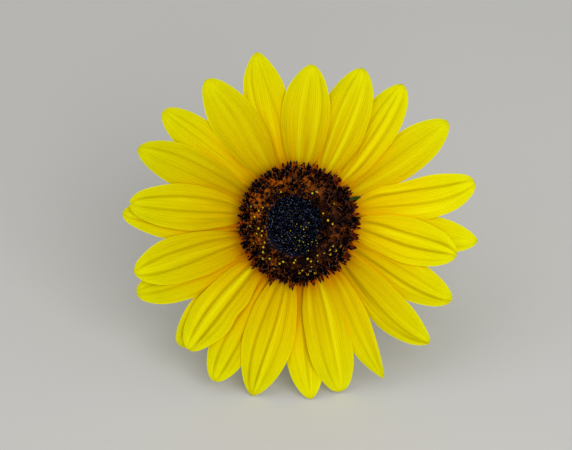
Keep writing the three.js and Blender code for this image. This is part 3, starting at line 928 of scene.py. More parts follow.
def petal_sheet(petal, props, number):
    """A petal's front and back as rows of points in millimetres, and its numbers for each point."""
    random = np.random.default_rng(number)
    nick, tone, warmth = petal["look"]
    # Rows lie closer together towards the tip, and columns towards the margins.
    rows, columns = 84, 53
    along = 1 - (1 - np.linspace(0, 1, rows)) ** 1.7
    even = np.linspace(-1, 1, columns)
    across = (even * (1.25 - 0.25 * even**2))[None, :]
    half = petal_half_width(petal, along, TIP_WIDTH + nick)[:, None]
    length = petal["size"][0] - SEAT_RADIUS
    nick_side = random.uniform(-0.4, 0.4)
    nicked = nick / length * np.exp(-(((across - nick_side) / 0.45) ** 2))
    along = along[:, None] - nicked * smooth_step(0.93, 1, along)[:, None]
    middle, outward = petal_line(petal, along)
    sideways = half * across + petal_margin(petal, across, along, half, random)
    x = middle[..., 0] + outward[..., 1] * sideways
    y = middle[..., 1] - outward[..., 0] * sideways
    smooth = petal_height(petal, np.hypot(x, y), sideways, along)
    # Relief: folds, broad swells, low veins and a waved edge.
    folds = petal_folds(petal, props, across, along, half, random)
    pleat = np.cos(3 * np.pi * across * (1 + 0.06 * np.sin(2 * along + number)))
    pleat_fade = smooth_step(0, 0.12, along) * (1 - 0.45 * along) * (1 - smooth_step(0.9, 1, along))
    veins = np.cos(2 * np.pi * (6.5 * across + 0.3 * np.sin(4 * along + number)))
    waves = random.uniform(0, math.tau, 2)
    wave = np.where(across < 0, waves[0], waves[1]) + math.tau * 1.9 * along
    ruffle = np.abs(across) ** 4 * np.sin(wave) * smooth_step(0.15, 0.4, along)
    ruffle = ruffle * (1 - smooth_step(0.85, 1, along))
    relief = -props.fold_depth / MM * folds + props.pleat_depth / MM * pleat * pleat_fade
    relief = relief + 0.05 * veins + props.ruffle / MM * ruffle - 0.25 * across**6
    height = smooth + relief
    thickness = props.thickness / MM * (1 - 0.7 * across**6) * (1 + 0.8 * (1 - smooth_step(0, 0.15, along)))
    edge = np.minimum((1 - np.abs(across)) * half, (1 - along) * length)
    values = {
        "groove": np.maximum(folds, 0),
        "rib": np.maximum(-folds, 0),
        # Nearness to the margin, where a painted glow of light lies.
        "rim": np.exp(-edge / 0.4),
        "tone": np.full_like(x, tone),
        "warmth": np.full_like(x, warmth),
        "shade": petal_shade(number, x, y, smooth),
    }
    front = np.stack([x, y, height], axis=-1)
    back = np.stack([x, y, height - thickness], axis=-1)
    return front, back, np.broadcast_to(across, x.shape), along, values


def streaked(tree, colour, streak, low, high):
    """The colour darker and lighter along the streaks."""
    return brighten(tree, colour, fit(tree, streak, 0.3, 0.7, low, high))


def petal_face_material(props):
    made, tree, shader = new_material(
        "Petal face", Roughness=0.6, Specular_IOR_Level=0.1, Specular_Tint=srgb(255, 240, 60), **THIN_BLADE
    )
    across, along = uv_place(tree, "PetalUV")
    lines = growth_lines(tree, across, along, float(props.vein_count), 0.6, 14.0)
    place = times_plus(tree, lines["Streak"], 0.08, along)
    stops = [(0.1, props.base_colour), (0.5, props.middle_colour), (0.88, props.tip_colour)]
    colour = ramp(tree, place, [*stops, (1, srgb(250, 246, 4))])
    spread = times_plus(tree, attribute(tree, "warmth"), 0.13, 0.08)
    throat = calc(tree, "POWER", fit(tree, calc(tree, "DIVIDE", place, spread), 2.2, 0.5), 2.0)
    colour = mix_colour(tree, throat, colour, props.throat_colour)
    root = fit(tree, place, 0.15, 0.09)
    ember = times(tree, root, fit(tree, attribute(tree, "warmth"), 0.0, 0.5, 0.1, 0.5))
    colour = mix_colour(tree, ember, colour, srgb(240, 104, 0))
    colour = streaked(tree, colour, lines["Streak"], 0.9, 1.06)
    # Painted shade in the grooves, and a painted highlight along the raised ribs.
    shade = fit(tree, attribute(tree, "groove"), 0.0, 1.0, 0.0, 0.9)
    colour = mix_colour(tree, shade, colour, props.groove_colour)
    colour = mix_colour(tree, fit(tree, attribute(tree, "rib"), 0.0, 0.7), colour, srgb(255, 244, 8))
    colour = mix_colour(tree, times(tree, lines["Vein"], 0.16), colour, props.groove_colour)
    # Each petal is made lighter or darker, most of all towards its root: partly its own tone, partly painted
    # light.
    inner = fit(tree, along, 0.1, 1.0, 1.4, 0.3)
    colour = brighten(tree, colour, times_plus(tree, attribute(tree, "tone"), inner, 0.99))
    # A painted glow of light along the thin margin, strongest towards the tip.
    rim = times(tree, attribute(tree, "rim"), fit(tree, along, 0.5, 0.9, 0.15, 0.9))
    colour = mix_colour(tree, rim, colour, srgb(255, 252, 10))
    # Painted shade beside a petal that lies over this one: warm orange, for the light that comes through the
    # petal above.
    warmed = fit(tree, attribute(tree, "warmth"), 0.0, 0.8, 0.35, 0.85)
    painted_warm_shade = attribute(tree, "shade")
    painted_warm_shade = times(tree, painted_warm_shade, times(tree, warmed, fit(tree, along, 0.0, 0.8, 1.0, 0.4)))
    shader("Base Color", mix_colour(tree, painted_warm_shade, colour, srgb(248, 160, 0)))
    shader("Roughness", fit(tree, lines["Streak"], 0.3, 0.7, 0.5, 0.66))
    height = times_plus(tree, lines["Streak"], 0.6, times(tree, lines["Vein"], -0.4))
    shader("Normal", bump(tree, height, 0.14 * MM))
    return made


def petal_back_material(props):
    made, tree, shader = new_material("Petal back", Roughness=0.7, Specular_IOR_Level=0.1, **THIN_BLADE)
    across, along = uv_place(tree, "PetalUV")
    lines = growth_lines(tree, across, along, float(props.vein_count) * 0.7, 0.4, 10.0)
    green = srgb(176, 182, 70)
    greenish = mixed(green, props.back_colour, 0.6)
    colour = ramp(tree, along, [(0.0, srgb(150, 160, 60)), (0.25, greenish), (0.7, props.back_colour)])
    colour = streaked(tree, colour, lines["Streak"], 0.9, 1.05)
    shader("Base Color", mix_colour(tree, times(tree, lines["Vein"], 0.22), colour, green))
    height = times_plus(tree, lines["Vein"], 0.8, lines["Streak"])
    shader("Normal", bump(tree, height, 0.1 * MM))
    return made


class SUNFLOWER_OT_ray_petals(bpy.types.Operator):
    """Builds the 24 petals with their folds, grooves, veins and nicked tips"""

    bl_idname = "sunflower.ray_petals"
    bl_label = "Ray petals"

    def execute(self, context):
        props = context.scene.sunflower_petals
        materials = [petal_face_material(props), petal_back_material(props)]
        for number, petal in enumerate(PETALS, start=1):
            front, back, across, along, values = petal_sheet(petal, props, number)
            rings = blade_rings(front, back)
            rows, columns = rings.shape[:2]
            piece = new_object(f"petal_{number:02d}", rings * MM, blade_faces(rings), materials)
            mesh = piece.data
            add_values(mesh, {key: blade_rings(value, value) for key, value in values.items()})
            sharpen(mesh, columns)
            add_uv(mesh, "PetalUV", *blade_uv(across, along))
            chosen = np.zeros(len(mesh.polygons), dtype=np.int32)
            blade = chosen[: (rows - 1) * columns].reshape(rows - 1, columns)
            blade[:, columns // 2 : columns - 1] = 1
            mesh.polygons.foreach_set("material_index", chosen)
            mesh.transform(HEAD)
            keep(piece, "petal", f"ray_petal_{number:02d}")
        return {"FINISHED"}


# The disc.


def bed_mesh(name, corners, rows, cobbles, material):
    """A closed ring turned from a profile with about so many rows. Sizes in millimetres.

    The profile's corners are (radius, height, cobbled share). They run from the inside of the underside
    round the outside to the inside of the top.
    """
    corners = np.array(corners, dtype=float)
    lengths = np.hypot(*np.diff(corners[:, :2], axis=0).T)
    places = np.concatenate([[0], np.cumsum(lengths)])
    even = np.union1d(np.linspace(0, places[-1], rows), places)
    radii, heights, share = [np.interp(even, places, column) for column in corners.T]
    rings, angles = turned(radii, heights, sides=160)
    bumps = np.sin(37 * angles + 1.3 * radii[:, None]) * np.sin(2.4 * radii[:, None] + 5 * angles)
    rings[..., 2] += cobbles * share[:, None] * bumps
    count = rings.shape[0] * rings.shape[1]
    faces = skin(np.concatenate([rings, rings[:1]]))
    faces = [tuple(corner % count for corner in face) for face in faces]
    piece = new_object(name, rings * MM, faces, [material])
    inside = np.interp(np.hypot(rings[..., 0], rings[..., 1]), (DRIFT_FROM, DRIFT_TO), (1, 0))
    up = (rings[..., 1] - DRIFT[1] * inside) / (1 + MIDDLE_STRETCH * inside)
    drifted = np.hypot(rings[..., 0] - DRIFT[0] * inside, up)
    add_values(piece.data, {"radius": drifted, "height": rings[..., 2]})
    piece.data.transform(HEAD)
    return piece


def bed_material(props):
    made, tree, shader = new_material("Disc bed", Roughness=0.8, Specular_IOR_Level=0.2)
    patch = mottling(tree, 700.0)
    radius = attribute(tree, "radius")
    ring = mix_colour(tree, ripeness(tree), props.tube_colour, props.ripe_colour)
    ring = mix_colour(tree, times(tree, patch, 0.7), ring, srgb(70, 28, 4))
    flank = mix_colour(tree, ripeness(tree), srgb(244, 116, 4), srgb(76, 30, 6))
    ring = mix_colour(tree, fit(tree, radius, 19.0, 21.5), ring, flank)
    low = fit(tree, attribute(tree, "height"), 2.2, 0.6)
    ring = mix_colour(tree, times(tree, low, fit(tree, radius, 18.0, 19.0)), ring, srgb(186, 140, 24))
    border = times_plus(tree, patch, 2.2, radius)
    shader("Base Color", mix_colour(tree, fit(tree, border, 12.1, 12.7), props.bud_colour, ring))
    shader("Normal", bump(tree, patch, 0.3 * MM))
    return made


def floret_material(name, colours, limits, tones, finish, ripe=None, foot=None):
    """A floret part whose colour goes from its root's to its tip's, with a tone of its own for each copy.

    limits are the tip values between which the colour changes, tones the darkest and the brightest copy's
    tone, and finish the roughness and the gloss.
    ripe is the root's colour where the florets have turned brown, and foot is the colour below the root's.
    """
    root, tip = colours
    roughness, gloss = finish
    made, tree, shader = new_material(name, Roughness=roughness, Specular_IOR_Level=gloss)
    patch = mottling(tree, 1500.0)
    if ripe:
        root = mix_colour(tree, ripeness(tree), root, ripe)
    place = times_plus(tree, minus(tree, patch, 0.5), 0.25, attribute(tree, "tip"))
    if foot:
        root = mix_colour(tree, fit(tree, place, -0.5, 0.1), foot, root)
    colour = mix_colour(tree, fit(tree, place, *limits), root, tip)
    tone = calc(tree, "POWER", attribute(tree, "tone"), 2.0)
    shader("Base Color", brighten(tree, colour, fit(tree, tone, 0.0, 1.0, *tones)))
    shader("Normal", bump(tree, patch, 0.08 * MM))
    return made


class SUNFLOWER_OT_disc_buds(bpy.types.Operator):
    """Builds the dark middle of the disc: its bed, the closed buds and the bristles between them"""

    bl_idname = "sunflower.disc_buds"
    bl_label = "Disc buds"

    def execute(self, context):
        props = context.scene.sunflower_disc
        corners = [(BUD_BED_HOLE, DISC_UNDERSIDE, 0), (BUD_BED_RADIUS, DISC_UNDERSIDE, 0)]
        corners += [(BUD_BED_RADIUS, 2.2, 0), (BUD_BED_RADIUS - 0.8, BUD_BED_TOP, 1)]
        corners.append((BUD_BED_HOLE, BUD_BED_TOP - 0.9, 1))
        keep(bed_mesh("bud_bed", corners, 40, 0.1, bed_material(props)), *BUDS)

        bud = ringed_shape("bud", [(0, 0.3, 0), (1.2, 0.4, 0.1), (1.8, 0.32, 0.3), (2.2, 0.06, 1)], 5)
        # The buds' tips turn blue-grey, and some copies are much brighter: partly bloom, partly painted
        # glints.
        skin_colours = (props.bud_colour, props.bloom_and_glint_colour)
        paint = floret_material("Bud skin", skin_colours, (0.7, 1.2), (0.1, 1.6), (0.6, 0.02))
        common = dict(seed=props.seed, count=BUD_COUNT, spacing=props.bud_spacing / MM, **BUD_SPIRAL)
        spiral("closed_buds", BUDS, bud, paint, lean=0.3, shake=0.08, **common)

        spike = ringed_shape("spike", [(0, 0.09, 0), (1.6, 0.11, 0.5), (2.5, 0.01, 1)], 3)
        # The bristles' tips are blue-grey, and some copies are much brighter: partly pale tips, partly
        # painted glints.
        bristle_colours = (props.bud_colour, srgb(112, 120, 146))
        bristle = floret_material("Bristle", bristle_colours, (0.4, 1.0), (0, 4.2), (0.5, 0.05))
        common |= dict(seed=props.seed + 1, count=BRISTLE_COUNT, spacing=common["spacing"] * BRISTLE_SPACING)
        spiral("bud_bristles", BUDS, spike, bristle, turn=1.1, lean=1.2, shake=0.2, share=0.45, **common)
        return {"FINISHED"}


class SUNFLOWER_OT_disc_florets(bpy.types.Operator):
    """Builds the ring of florets, with anthers, styles and stigmas, and the scales and chaff at its rim"""

    bl_idname = "sunflower.disc_florets"
    bl_label = "Disc florets"

    def execute(self, context):
        props = context.scene.sunflower_disc
        corners = [(FLORET_BED_HOLE, DISC_UNDERSIDE, 0), (FLORET_BED_RADIUS, DISC_UNDERSIDE, 0)]
        corners += [(FLORET_BED_RADIUS, FLORET_BED_TOP, 0), (21, 1.7, 0), (22.2, 2.6, 0.5), (21.6, 3.2, 1)]
        corners += [(16, 3.5, 1), (12.6, 3.2, 1), (FLORET_BED_HOLE, 2.6, 0)]
        bed = bed_mesh("floret_bed", corners, 56, 0.25, bpy.data.materials["Disc bed"])
        keep(bed, *FLORETS)
        common = dict(
            seed=props.seed, count=FLORET_COUNT, spacing=props.floret_spacing / MM, from_radius=11.7,
            ragged=1.1, tip_inner=11.5,
        )
        open_ones = common | BARE_PLACE | dict(patch_high=BARE_LIMIT)

        levels = [(0, 0.4, 0), (2.2, 0.55, 0), (3.5, 0.8, 0.1), (4.2, 0.92, 0.4), (3.8, 0.74, 0.1)]
        levels.append((2.8, 0.35, 0))
        tube = ringed_shape("tube", levels, 10, (3, 4.75, props.floret_width / MM / 2))
        paint = floret_material(
            "Floret tube", (props.tube_colour, props.lobe_colour), (0.3, 0.5), (0.6, 1.1), (0.7, 0.03),
            ripe=props.ripe_colour,
        )
        spiral("open_florets", FLORETS, tube, paint, **open_ones)

        levels = [(0, 0.4, 0), (2.4, 0.66, 0), (3.5, 0.78, 0), (4.2, 0.66, 0), (4.6, 0.34, 0.1)]
        levels.append((4.75, 0.06, 0.6))
        closed_ones = common | dict(width_high=1.3, height_spread=0.6, tip_inner=11.6)
        bare_ones = closed_ones | BARE_PLACE | dict(patch_low=BARE_LIMIT)
        late_ones = closed_ones | dict(turn=0.9, share=0.16)
        for name, chosen in (("closed_florets", bare_ones), ("late_florets", late_ones)):
            closed = ringed_shape("closed", levels, 10, (4, 4.5, 0.5))
            spiral(name, FLORETS, closed, paint, **chosen)

        column = [(2.6, 0.3, 0), (4.4, 0.55, 0.2), (5.3, 0.6, 0.5), (5.4, 0.35, 0.8), (6.0, 0.08, 1)]
        dark = (srgb(4, 0, 3), srgb(26, 16, 26))
        paint = floret_material("Anther", dark, (0.6, 1.1), (0.2, 2.4), (0.6, 0.03))
        anther = ringed_shape("anther", column, 10, (2, 5.5, 1.4))
        starred = open_ones | dict(patch_high=STARRED_LIMIT, width_low=0.55, width_high=1.2, share=0.85)
        spiral("floret_anthers", FLORETS, anther, paint, **starred)

        rod = ringed_shape("rod", [(2, 0.2, 0), (4.2, 0.36, 0.2), (5.6, 0.5, 0.6), (6.4, 0.08, 1)], 5)
        # The styles' tips are lilac-grey, and some copies are brighter: painted glints.
        grey = (srgb(6, 0, 3), srgb(116, 98, 104))
        paint = floret_material("Style", grey, (0.8, 1.1), (0.1, 1.6), (0.6, 0.03))
        styles = open_ones | dict(share=0.85, turn=1.7, lean=1.1, width_low=0.7, from_radius=16)
        spiral("floret_rods", FLORETS, rod, paint, **styles)

        rust = (props.lobe_colour, props.stigma_colour)
        paint = floret_material("Stigma", rust, (0.1, 0.6), (0.4, 1.8), (0.5, 0.2))
        curled = open_ones | dict(share=0.6, from_radius=14)
        spiral("floret_stigmas", FLORETS, stigma_shape(), paint, **curled)

        horn = horn_shape()
        edge = floret_material(
            "Rim scale", (srgb(236, 98, 0), srgb(34, 4, 8)), (0.5, 0.78), (0.6, 1.7), (0.6, 0.08),
            ripe=srgb(118, 42, 6), foot=srgb(186, 140, 24),
        )
        rim = common | dict(
            seed=props.seed + 3, count=RIM_COUNT, spacing=0, base_radius=17.9, from_radius=0, lean=1.3,
            share=0.88, root_outer=17.8, tip_outer=24.9, drift_across=3.2, drift_up=-1.2,
            height_outer=3.4, height_spread=1.8, spin=0.9, bed_height=-0.6,
        )
        spiral("rim_scales", FLORETS, horn, edge, **rim)
        chaff = floret_material(
            "Chaff", (srgb(240, 124, 2), srgb(90, 30, 6)), (0.6, 1.0), (0.7, 1.3), (0.7, 0.1),
            ripe=srgb(110, 44, 6), foot=srgb(190, 150, 30),
        )
        low_rim = rim | dict(
            seed=props.seed + 6, count=CHAFF_COUNT, base_radius=18.9, root_outer=18.8, tip_outer=22.4,
            bed_height=-4.0, height_outer=1.0, height_spread=1.2, lean=0.8, share=1,
        )
        spiral("rim_chaff", FLORETS, horn_shape(), chaff, **low_rim)
        rim |= dict(count=1, lean=0, share=1, width_low=0.9)
        for number, (turn, reach) in enumerate(LONG_TIPS, start=1):
            rim |= dict(turn=math.radians(turn), tip_outer=reach)
            spiral(f"long_tip_{number}", FLORETS, horn_shape(), edge, **rim)
        return {"FINISHED"}


class SUNFLOWER_OT_pollen(bpy.types.Operator):
    """Dots yellow pollen over the disc"""

    bl_idname = "sunflower.pollen"
    bl_label = "Pollen"

    def execute(self, context):
        props = context.scene.sunflower_disc
        yellow = (props.pollen_colour, props.pollen_colour)
        gold = floret_material("Pollen", yellow, (0.0, 1.0), (0.8, 1.15), (0.7, 0.2))
        clump = dict(
            seed=props.seed, count=FLORET_COUNT, spacing=props.floret_spacing / MM, from_radius=12.2,
            to_radius=16.5, ragged=0.7, share=0.42, patch_low=0.66, width_low=0.6,
            patch_size=1.5, focus_across=1, focus_up=-14, focus_reach=24, focus_pull=1.0,
        )
        spiral("pollen_clumps", FLORETS, grain_shape("clump", 0.54, 5.2), gold, **clump)
        grain = BUD_SPIRAL | dict(
            seed=props.seed + 5, count=BUD_COUNT, spacing=props.bud_spacing / MM, turn=0.4, lean=0.5,
            share=0.16, patch_low=0.95, width_low=0.5,
            patch_size=1.2, focus_across=0.5, focus_up=-4, focus_reach=9, focus_pull=1.2,
        )
        spiral("pollen_grains", BUDS, grain_shape("grain", 0.24, 2.5), gold, **grain)
        grey = (srgb(150, 146, 110), srgb(190, 176, 90))
        pale = floret_material("Pollen dust", grey, (0.0, 1.0), (0.3, 1.2), (0.8, 0.1))
        speck = BUD_SPIRAL | dict(
            seed=props.seed + 6, count=BRISTLE_COUNT, spacing=props.bud_spacing * BRISTLE_SPACING / MM,
            turn=2.1, lean=0.8, share=0.06, width_low=0.5,
        )
        spiral("pollen_dust", BUDS, grain_shape("speck", 0.14, 2.6), pale, **speck)
        return {"FINISHED"}


# The green parts.


def green_material(name, colour, vein_share, uv_name, veins, crown=None):
    """A fleshy green with lengthwise veins. crown is the colour of its upper edge."""
    made, tree, shader = new_material(name, Roughness=0.65, Specular_IOR_Level=0.3)
    across, along = uv_place(tree, uv_name)
    lines = growth_lines(tree, across, along, veins, 0.5, 12.0)
    patch = mottling(tree, 500.0)
    tinted = mix_colour(tree, patch, mixed(colour, srgb(40, 60, 20), 0.35), colour)
    pale = mixed(colour, srgb(190, 200, 130), 0.5)
    tinted = mix_colour(tree, times(tree, lines["Vein"], vein_share), tinted, pale)
    if crown:
        tinted = mix_colour(tree, fit(tree, along, 0.28, 0.2), tinted, crown)
    shader("Base Color", tinted)
    shader("Roughness", fit(tree, patch, 0.0, 1.0, 0.55, 0.75))
    height = plus(tree, times(tree, lines["Vein"], 0.7), times(tree, patch, 0.5))
    shader("Normal", bump(tree, height, 0.15 * MM))
    return made


def cup_rings():
    """The cup's profile smoothed and turned round the head's axis, in millimetres."""
    profile = np.array(CUP_PROFILE)
    places = np.linspace(0, len(profile) - 1, 40)
    radius, height = [np.interp(places, np.arange(len(profile)), column) for column in profile.T]
    kernel = np.ones(5) / 5
    radius[2:-2] = np.convolve(radius, kernel, "valid")
    height[2:-2] = np.convolve(height, kernel, "valid")
    rings, angles = turned(radius, height, sides=72, way=-1)
    rings[..., :2] *= 1 + 0.006 * np.cos(26 * angles)[:, None]
    return rings


def bract_sheet(path, turn, stretch, width, seed):
    """A bract's front and back as rows of points, in millimetres."""
    random = np.random.default_rng(seed)
    along = np.linspace(0, 1, 30)[:, None]
    across = np.linspace(-1, 1, 13)[None, :]
    radius, height = [curve(*places, along) for places in zip(*path)]
    root = path[0][0]
    radius = root + (radius - root) * stretch
    leaf = np.cos(np.pi / 2 * along) ** 0.8 * (0.8 + 0.6 * along)
    sideways = np.maximum(width / 2 * leaf, 0.15) * across
    keel = 0.5 * (1 - np.abs(across) ** 1.5)
    wave = 0.25 * np.abs(across) ** 3 * np.sin(9 * along + random.uniform(0, math.tau))
    front_height = height - keel + wave - 0.04 * np.cos(7 * np.pi * across)
    rib = 0.45 * np.exp(-((across / 0.12) ** 2)) * (1 - along)
    x = math.cos(turn) * radius + math.sin(turn) * sideways
    y = math.sin(turn) * radius - math.cos(turn) * sideways
    front = np.stack([x, y, front_height], axis=-1)
    back = np.stack([x, y, front_height - 0.4 - rib], axis=-1)
    return front, back, np.broadcast_to(across, x.shape), np.broadcast_to(along, x.shape)


def bract_places():
    """Each bract's path, turn and stretch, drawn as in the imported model."""
    state = 7

    def random():
        nonlocal state
        state = (state * 1664525 + 1013904223) % 4294967296
        return state / 4294967296

    for row, path in enumerate((INNER_BRACT_PATH, OUTER_BRACT_PATH)):
        for number in range(BRACTS_IN_ROW):
            sway = 0 if number == 0 else (random() - 0.5) * 5
            turn = BRACT_TURN + (number + row / 2) * 360 / BRACTS_IN_ROW + sway
            stretch = 1 + (random() - 0.5) * 0.2
            yield path, math.radians(turn), SHOWN_BRACT_STRETCH if row == number == 0 else stretch


class SUNFLOWER_OT_receptacle(bpy.types.Operator):
    """Builds the green cup behind the disc, its two rows of bracts and their hairs"""

    bl_idname = "sunflower.receptacle"
    bl_label = "Receptacle and bracts"

    def execute(self, context):
        props = context.scene.sunflower_greens
        rings = cup_rings()
        rows, sides = rings.shape[:2]
        green = green_material("Cup green", props.bract_colour, 0.2, "CupUV", 26.0, srgb(200, 130, 12))
        cup = new_object("receptacle_cup", rings * MM, capped(rings), [green])
        add_uv(cup.data, "CupUV", *np.meshgrid(np.arange(sides) / sides, np.linspace(0, 1, rows)))
        cup.data.transform(HEAD)
        keep(cup, "bract", "receptacle")

        sheets, places = [], []
        for number, (path, turn, stretch) in enumerate(bract_places()):
            front, back, across, along = bract_sheet(path, turn, stretch, props.bract_width / MM, number)
            rings = blade_rings(front, back)
            sheets.append((rings, blade_faces(rings)))
            places.append(blade_uv(across, along))
        points, faces = joined(sheets)
        leaf = green_material("Bract green", props.bract_colour, 0.45, "BractUV", 7.0)
        bracts = new_object("bracts", points * MM, faces, [leaf])
        add_uv(bracts.data, "BractUV", *np.concatenate(places, axis=1))
        bracts.data.transform(HEAD)
        keep(bracts, "bract", "receptacle")
        hairs = hair_piece("bract_hairs", bracts, length=0.6 * MM, density=260000, seed=3)
        keep(hairs, "bract", "receptacle")
        return {"FINISHED"}


def hair_tree():
    """Stands short pointed hairs on a surface, none of them low enough to reach the table."""
    sockets = [("Surface", "Object"), ("Material", "Material"), ("Length", "Float"), ("Width", "Float")]
    sockets += [("Density", "Float"), ("Lean", "Float"), ("Lowest", "Float"), ("Seed", "Int")]
    tree, given = geometry_tree("Surface hairs", sockets)
    surface = geometry_of(tree, given["Surface"])
    scatter = {"Mesh": surface, "Density": given["Density"], "Seed": given["Seed"]}
    spread = add(tree, "GeometryNodeDistributePointsOnFaces", scatter)
    index = add(tree, "GeometryNodeInputIndex")[0]
    lean = combine(tree, *[draw(tree, -1.0, 1.0, index, given["Seed"], step) for step in (1, 2, 3)])
    axis = vector_calc(tree, "ADD", spread["Normal"], scaled(tree, lean, given["Lean"]))
    rotation = add(tree, "FunctionNodeAlignRotationToVector", {"Vector": axis}, axis="Z")[0]
    position = add(tree, "GeometryNodeInputPosition")[0]
    height = add(tree, "ShaderNodeSeparateXYZ", {0: position})["Z"]
    cone = {"Vertices": 3, "Radius Top": 0.0, "Radius Bottom": given["Width"], "Depth": given["Length"]}
    hair = add(tree, "GeometryNodeMeshCone", cone)["Mesh"]
    inputs = {
        "Points": spread["Points"],
        "Selection": calc(tree, "GREATER_THAN", height, given["Lowest"]),
        "Instance": hair,
        "Rotation": rotation,
        "Scale": combine(tree, 1.0, 1.0, draw(tree, 0.5, 1.2, index, given["Seed"], 4)),
    }
    end_tree(tree, add(tree, "GeometryNodeInstanceOnPoints", inputs)[0], given["Material"])
    return tree


def hair_material():
    made, tree, shader = new_material("Hair", Roughness=0.5, Specular_IOR_Level=0.4)
    shader("Base Color", mix_colour(tree, mottling(tree, 900.0), srgb(190, 200, 160), srgb(226, 230, 206)))
    return made


def hair_piece(name, surface, length, density, seed):
    tree = bpy.data.node_groups.get("Surface hairs") or hair_tree()
    inputs = {
        "Surface": surface,
        "Material": bpy.data.materials.get("Hair") or hair_material(),
        "Length": length,
        "Width": HAIR_WIDTH * MM,
        "Density": density,
        "Lean": 0.45,
        "Lowest": HAIR_LOWEST * MM,
        "Seed": seed,
    }
    return grow(name, tree, inputs)


def stem_path():
    """Points down the middle of the stem, from the neck to the cut end, in metres."""
    axis = Vector((0, math.cos(FACE_TILT), -math.sin(FACE_TILT)))
    top = HEAD_CENTRE + axis * STEM_TOP * MM
    corner = top + axis * ((top.z - STEM_REST * MM) / math.sin(FACE_TILT))
    bend_start = corner - axis * STEM_BEND * MM
    bend_end = corner + Vector((0, STEM_BEND, 0)) * MM
    cut = bend_end + Vector((0, STEM_TAIL, 0)) * MM
    points = [top.lerp(bend_start, i / 6) for i in range(6)]
    points += [curve(bend_start, corner, bend_end, i / 24) for i in range(25)]
    return points + [bend_end.lerp(cut, i / 12) for i in range(1, 13)]


def stem_tree():
    """Sweeps a ridged section along the stem's path."""
    sockets = [("Path", "Object"), ("Material", "Material"), ("Radius", "Float"), ("Ridges", "Int")]
    tree, given = geometry_tree("Ridged stem", [*sockets, ("Ridge depth", "Float")])
    path = geometry_of(tree, given["Path"])
    path = add(tree, "GeometryNodeResampleCurve", {"Curve": path, "Count": 150})[0]
    path = store(tree, path, "along", add(tree, "GeometryNodeSplineParameter")["Length"], "POINT")
    base = minus(tree, given["Radius"], given["Ridge depth"])
    section = add(tree, "GeometryNodeCurvePrimitiveCircle", {"Resolution": 88, "Radius": base})[0]
    section = store(tree, section, "around", add(tree, "GeometryNodeSplineParameter")["Factor"], "POINT")
    swept = {"Curve": path, "Profile Curve": section, "Fill Caps": True}
    tube = add(tree, "GeometryNodeCurveToMesh", swept)[0]
    around = add(tree, "GeometryNodeInputNamedAttribute", {"Name": "around"}, data_type="FLOAT")[0]
    wave = calc(tree, "COSINE", times(tree, times(tree, around, given["Ridges"]), math.tau))
    place = add(tree, "GeometryNodeInputPosition")[0]
    rough = minus(tree, noise(tree, place, 260.0), 0.5)
    push = times(tree, plus(tree, wave, rough), given["Ridge depth"])
    offset = scaled(tree, add(tree, "GeometryNodeInputNormal")[0], push)
    tube = add(tree, "GeometryNodeSetPosition", {"Geometry": tube, "Offset": offset})[0]
    end_tree(tree, tube, given["Material"])
    return tree


def stem_material(props):
    made, tree, shader = new_material("Stem green", Roughness=0.6, Specular_IOR_Level=0.3)
    along = times(tree, attribute(tree, "along"), 12.0)
    lines = growth_lines(tree, attribute(tree, "around"), along, float(props.stem_ridges) * 3, 0.4, 16.0)
    patch = mottling(tree, 300.0)
    colour = mix_colour(tree, patch, mixed(props.stem_colour, srgb(70, 92, 34), 0.5), props.stem_colour)
    colour = mix_colour(tree, times(tree, lines["Vein"], 0.35), colour, srgb(170, 186, 112))
    colour = mix_colour(tree, fit(tree, lines["Streak"], 0.55, 0.8, 0.0, 0.35), colour, srgb(110, 70, 60))
    shader("Base Color", colour)
    shader("Normal", bump(tree, plus(tree, lines["Vein"], patch), 0.15 * MM))
    return made


def pith_material(props):
    made, tree, shader = new_material("Stem cut", Roughness=0.75, Specular_IOR_Level=0.25)
    radius = attribute(tree, "radius")
    patch = mottling(tree, 1200.0)
    bundle = times(tree, fit(tree, radius, 3.3, 3.7), fit(tree, radius, 4.4, 4.0))
    pith = mix_colour(tree, patch, mixed(props.pith_colour, srgb(190, 180, 120), 0.4), props.pith_colour)
    colour = mix_colour(tree, times(tree, bundle, patch), pith, srgb(120, 140, 60))
    shader("Base Color", mix_colour(tree, fit(tree, radius, 4.2, 4.6), colour, props.stem_colour))
    shader("Normal", bump(tree, patch, 0.25 * MM))
    return made


class SUNFLOWER_OT_stem(bpy.types.Operator):
    """Builds the ridged stem, its stiff hairs and its cut end"""

    bl_idname = "sunflower.stem"
    bl_label = "Stem"

    def execute(self, context):
        props = context.scene.sunflower_greens
        points = stem_path()
        line = bpy.data.curves.new("stem_line", "CURVE")
        line.dimensions = "3D"
        spline = line.splines.new("POLY")
        spline.points.add(len(points) - 1)
        for target, point in zip(spline.points, points):
            target.co = (*point, 1)
        path = in_scene("stem_line", line)
        inputs = {
            "Path": path,
            "Material": stem_material(props),
            "Radius": props.stem_radius,
            "Ridges": props.stem_ridges,
            "Ridge depth": 0.13 * MM,
        }
        stem = grow("stem_tube", stem_tree(), inputs)
        bpy.data.objects.remove(path)
        keep(stem, "stem", "stem")
        hairs = hair_piece("stem_hairs", stem, props.hair_length, props.hair_density, seed=9)
        keep(hairs, "stem", "stem")
        # The cut end, as radii and how far each stands proud of the stem's last point.
        radii = np.array([4.75, 4.7, 4.5, 4.1, 3.7, 3.3, 2.4, 1.2, 0.2])
        rings, _ = turned(radii, [-0.3, 0.15, 0.4, 0.46, 0.42, 0.38, 0.34, 0.32, 0.3], sides=64)
        x, up, proud = np.moveaxis(rings, -1, 0)
        rings = np.stack([-x, points[-1].y / MM + proud, points[-1].z / MM + up], axis=-1)
        end = new_object("stem_cut_end", rings * MM, capped(rings), [pith_material(props)])
        add_values(end.data, {"radius": np.broadcast_to(radii[:, None], rings.shape[:2])})
        keep(end, "stem", "stem")
        return {"FINISHED"}


# The stage.


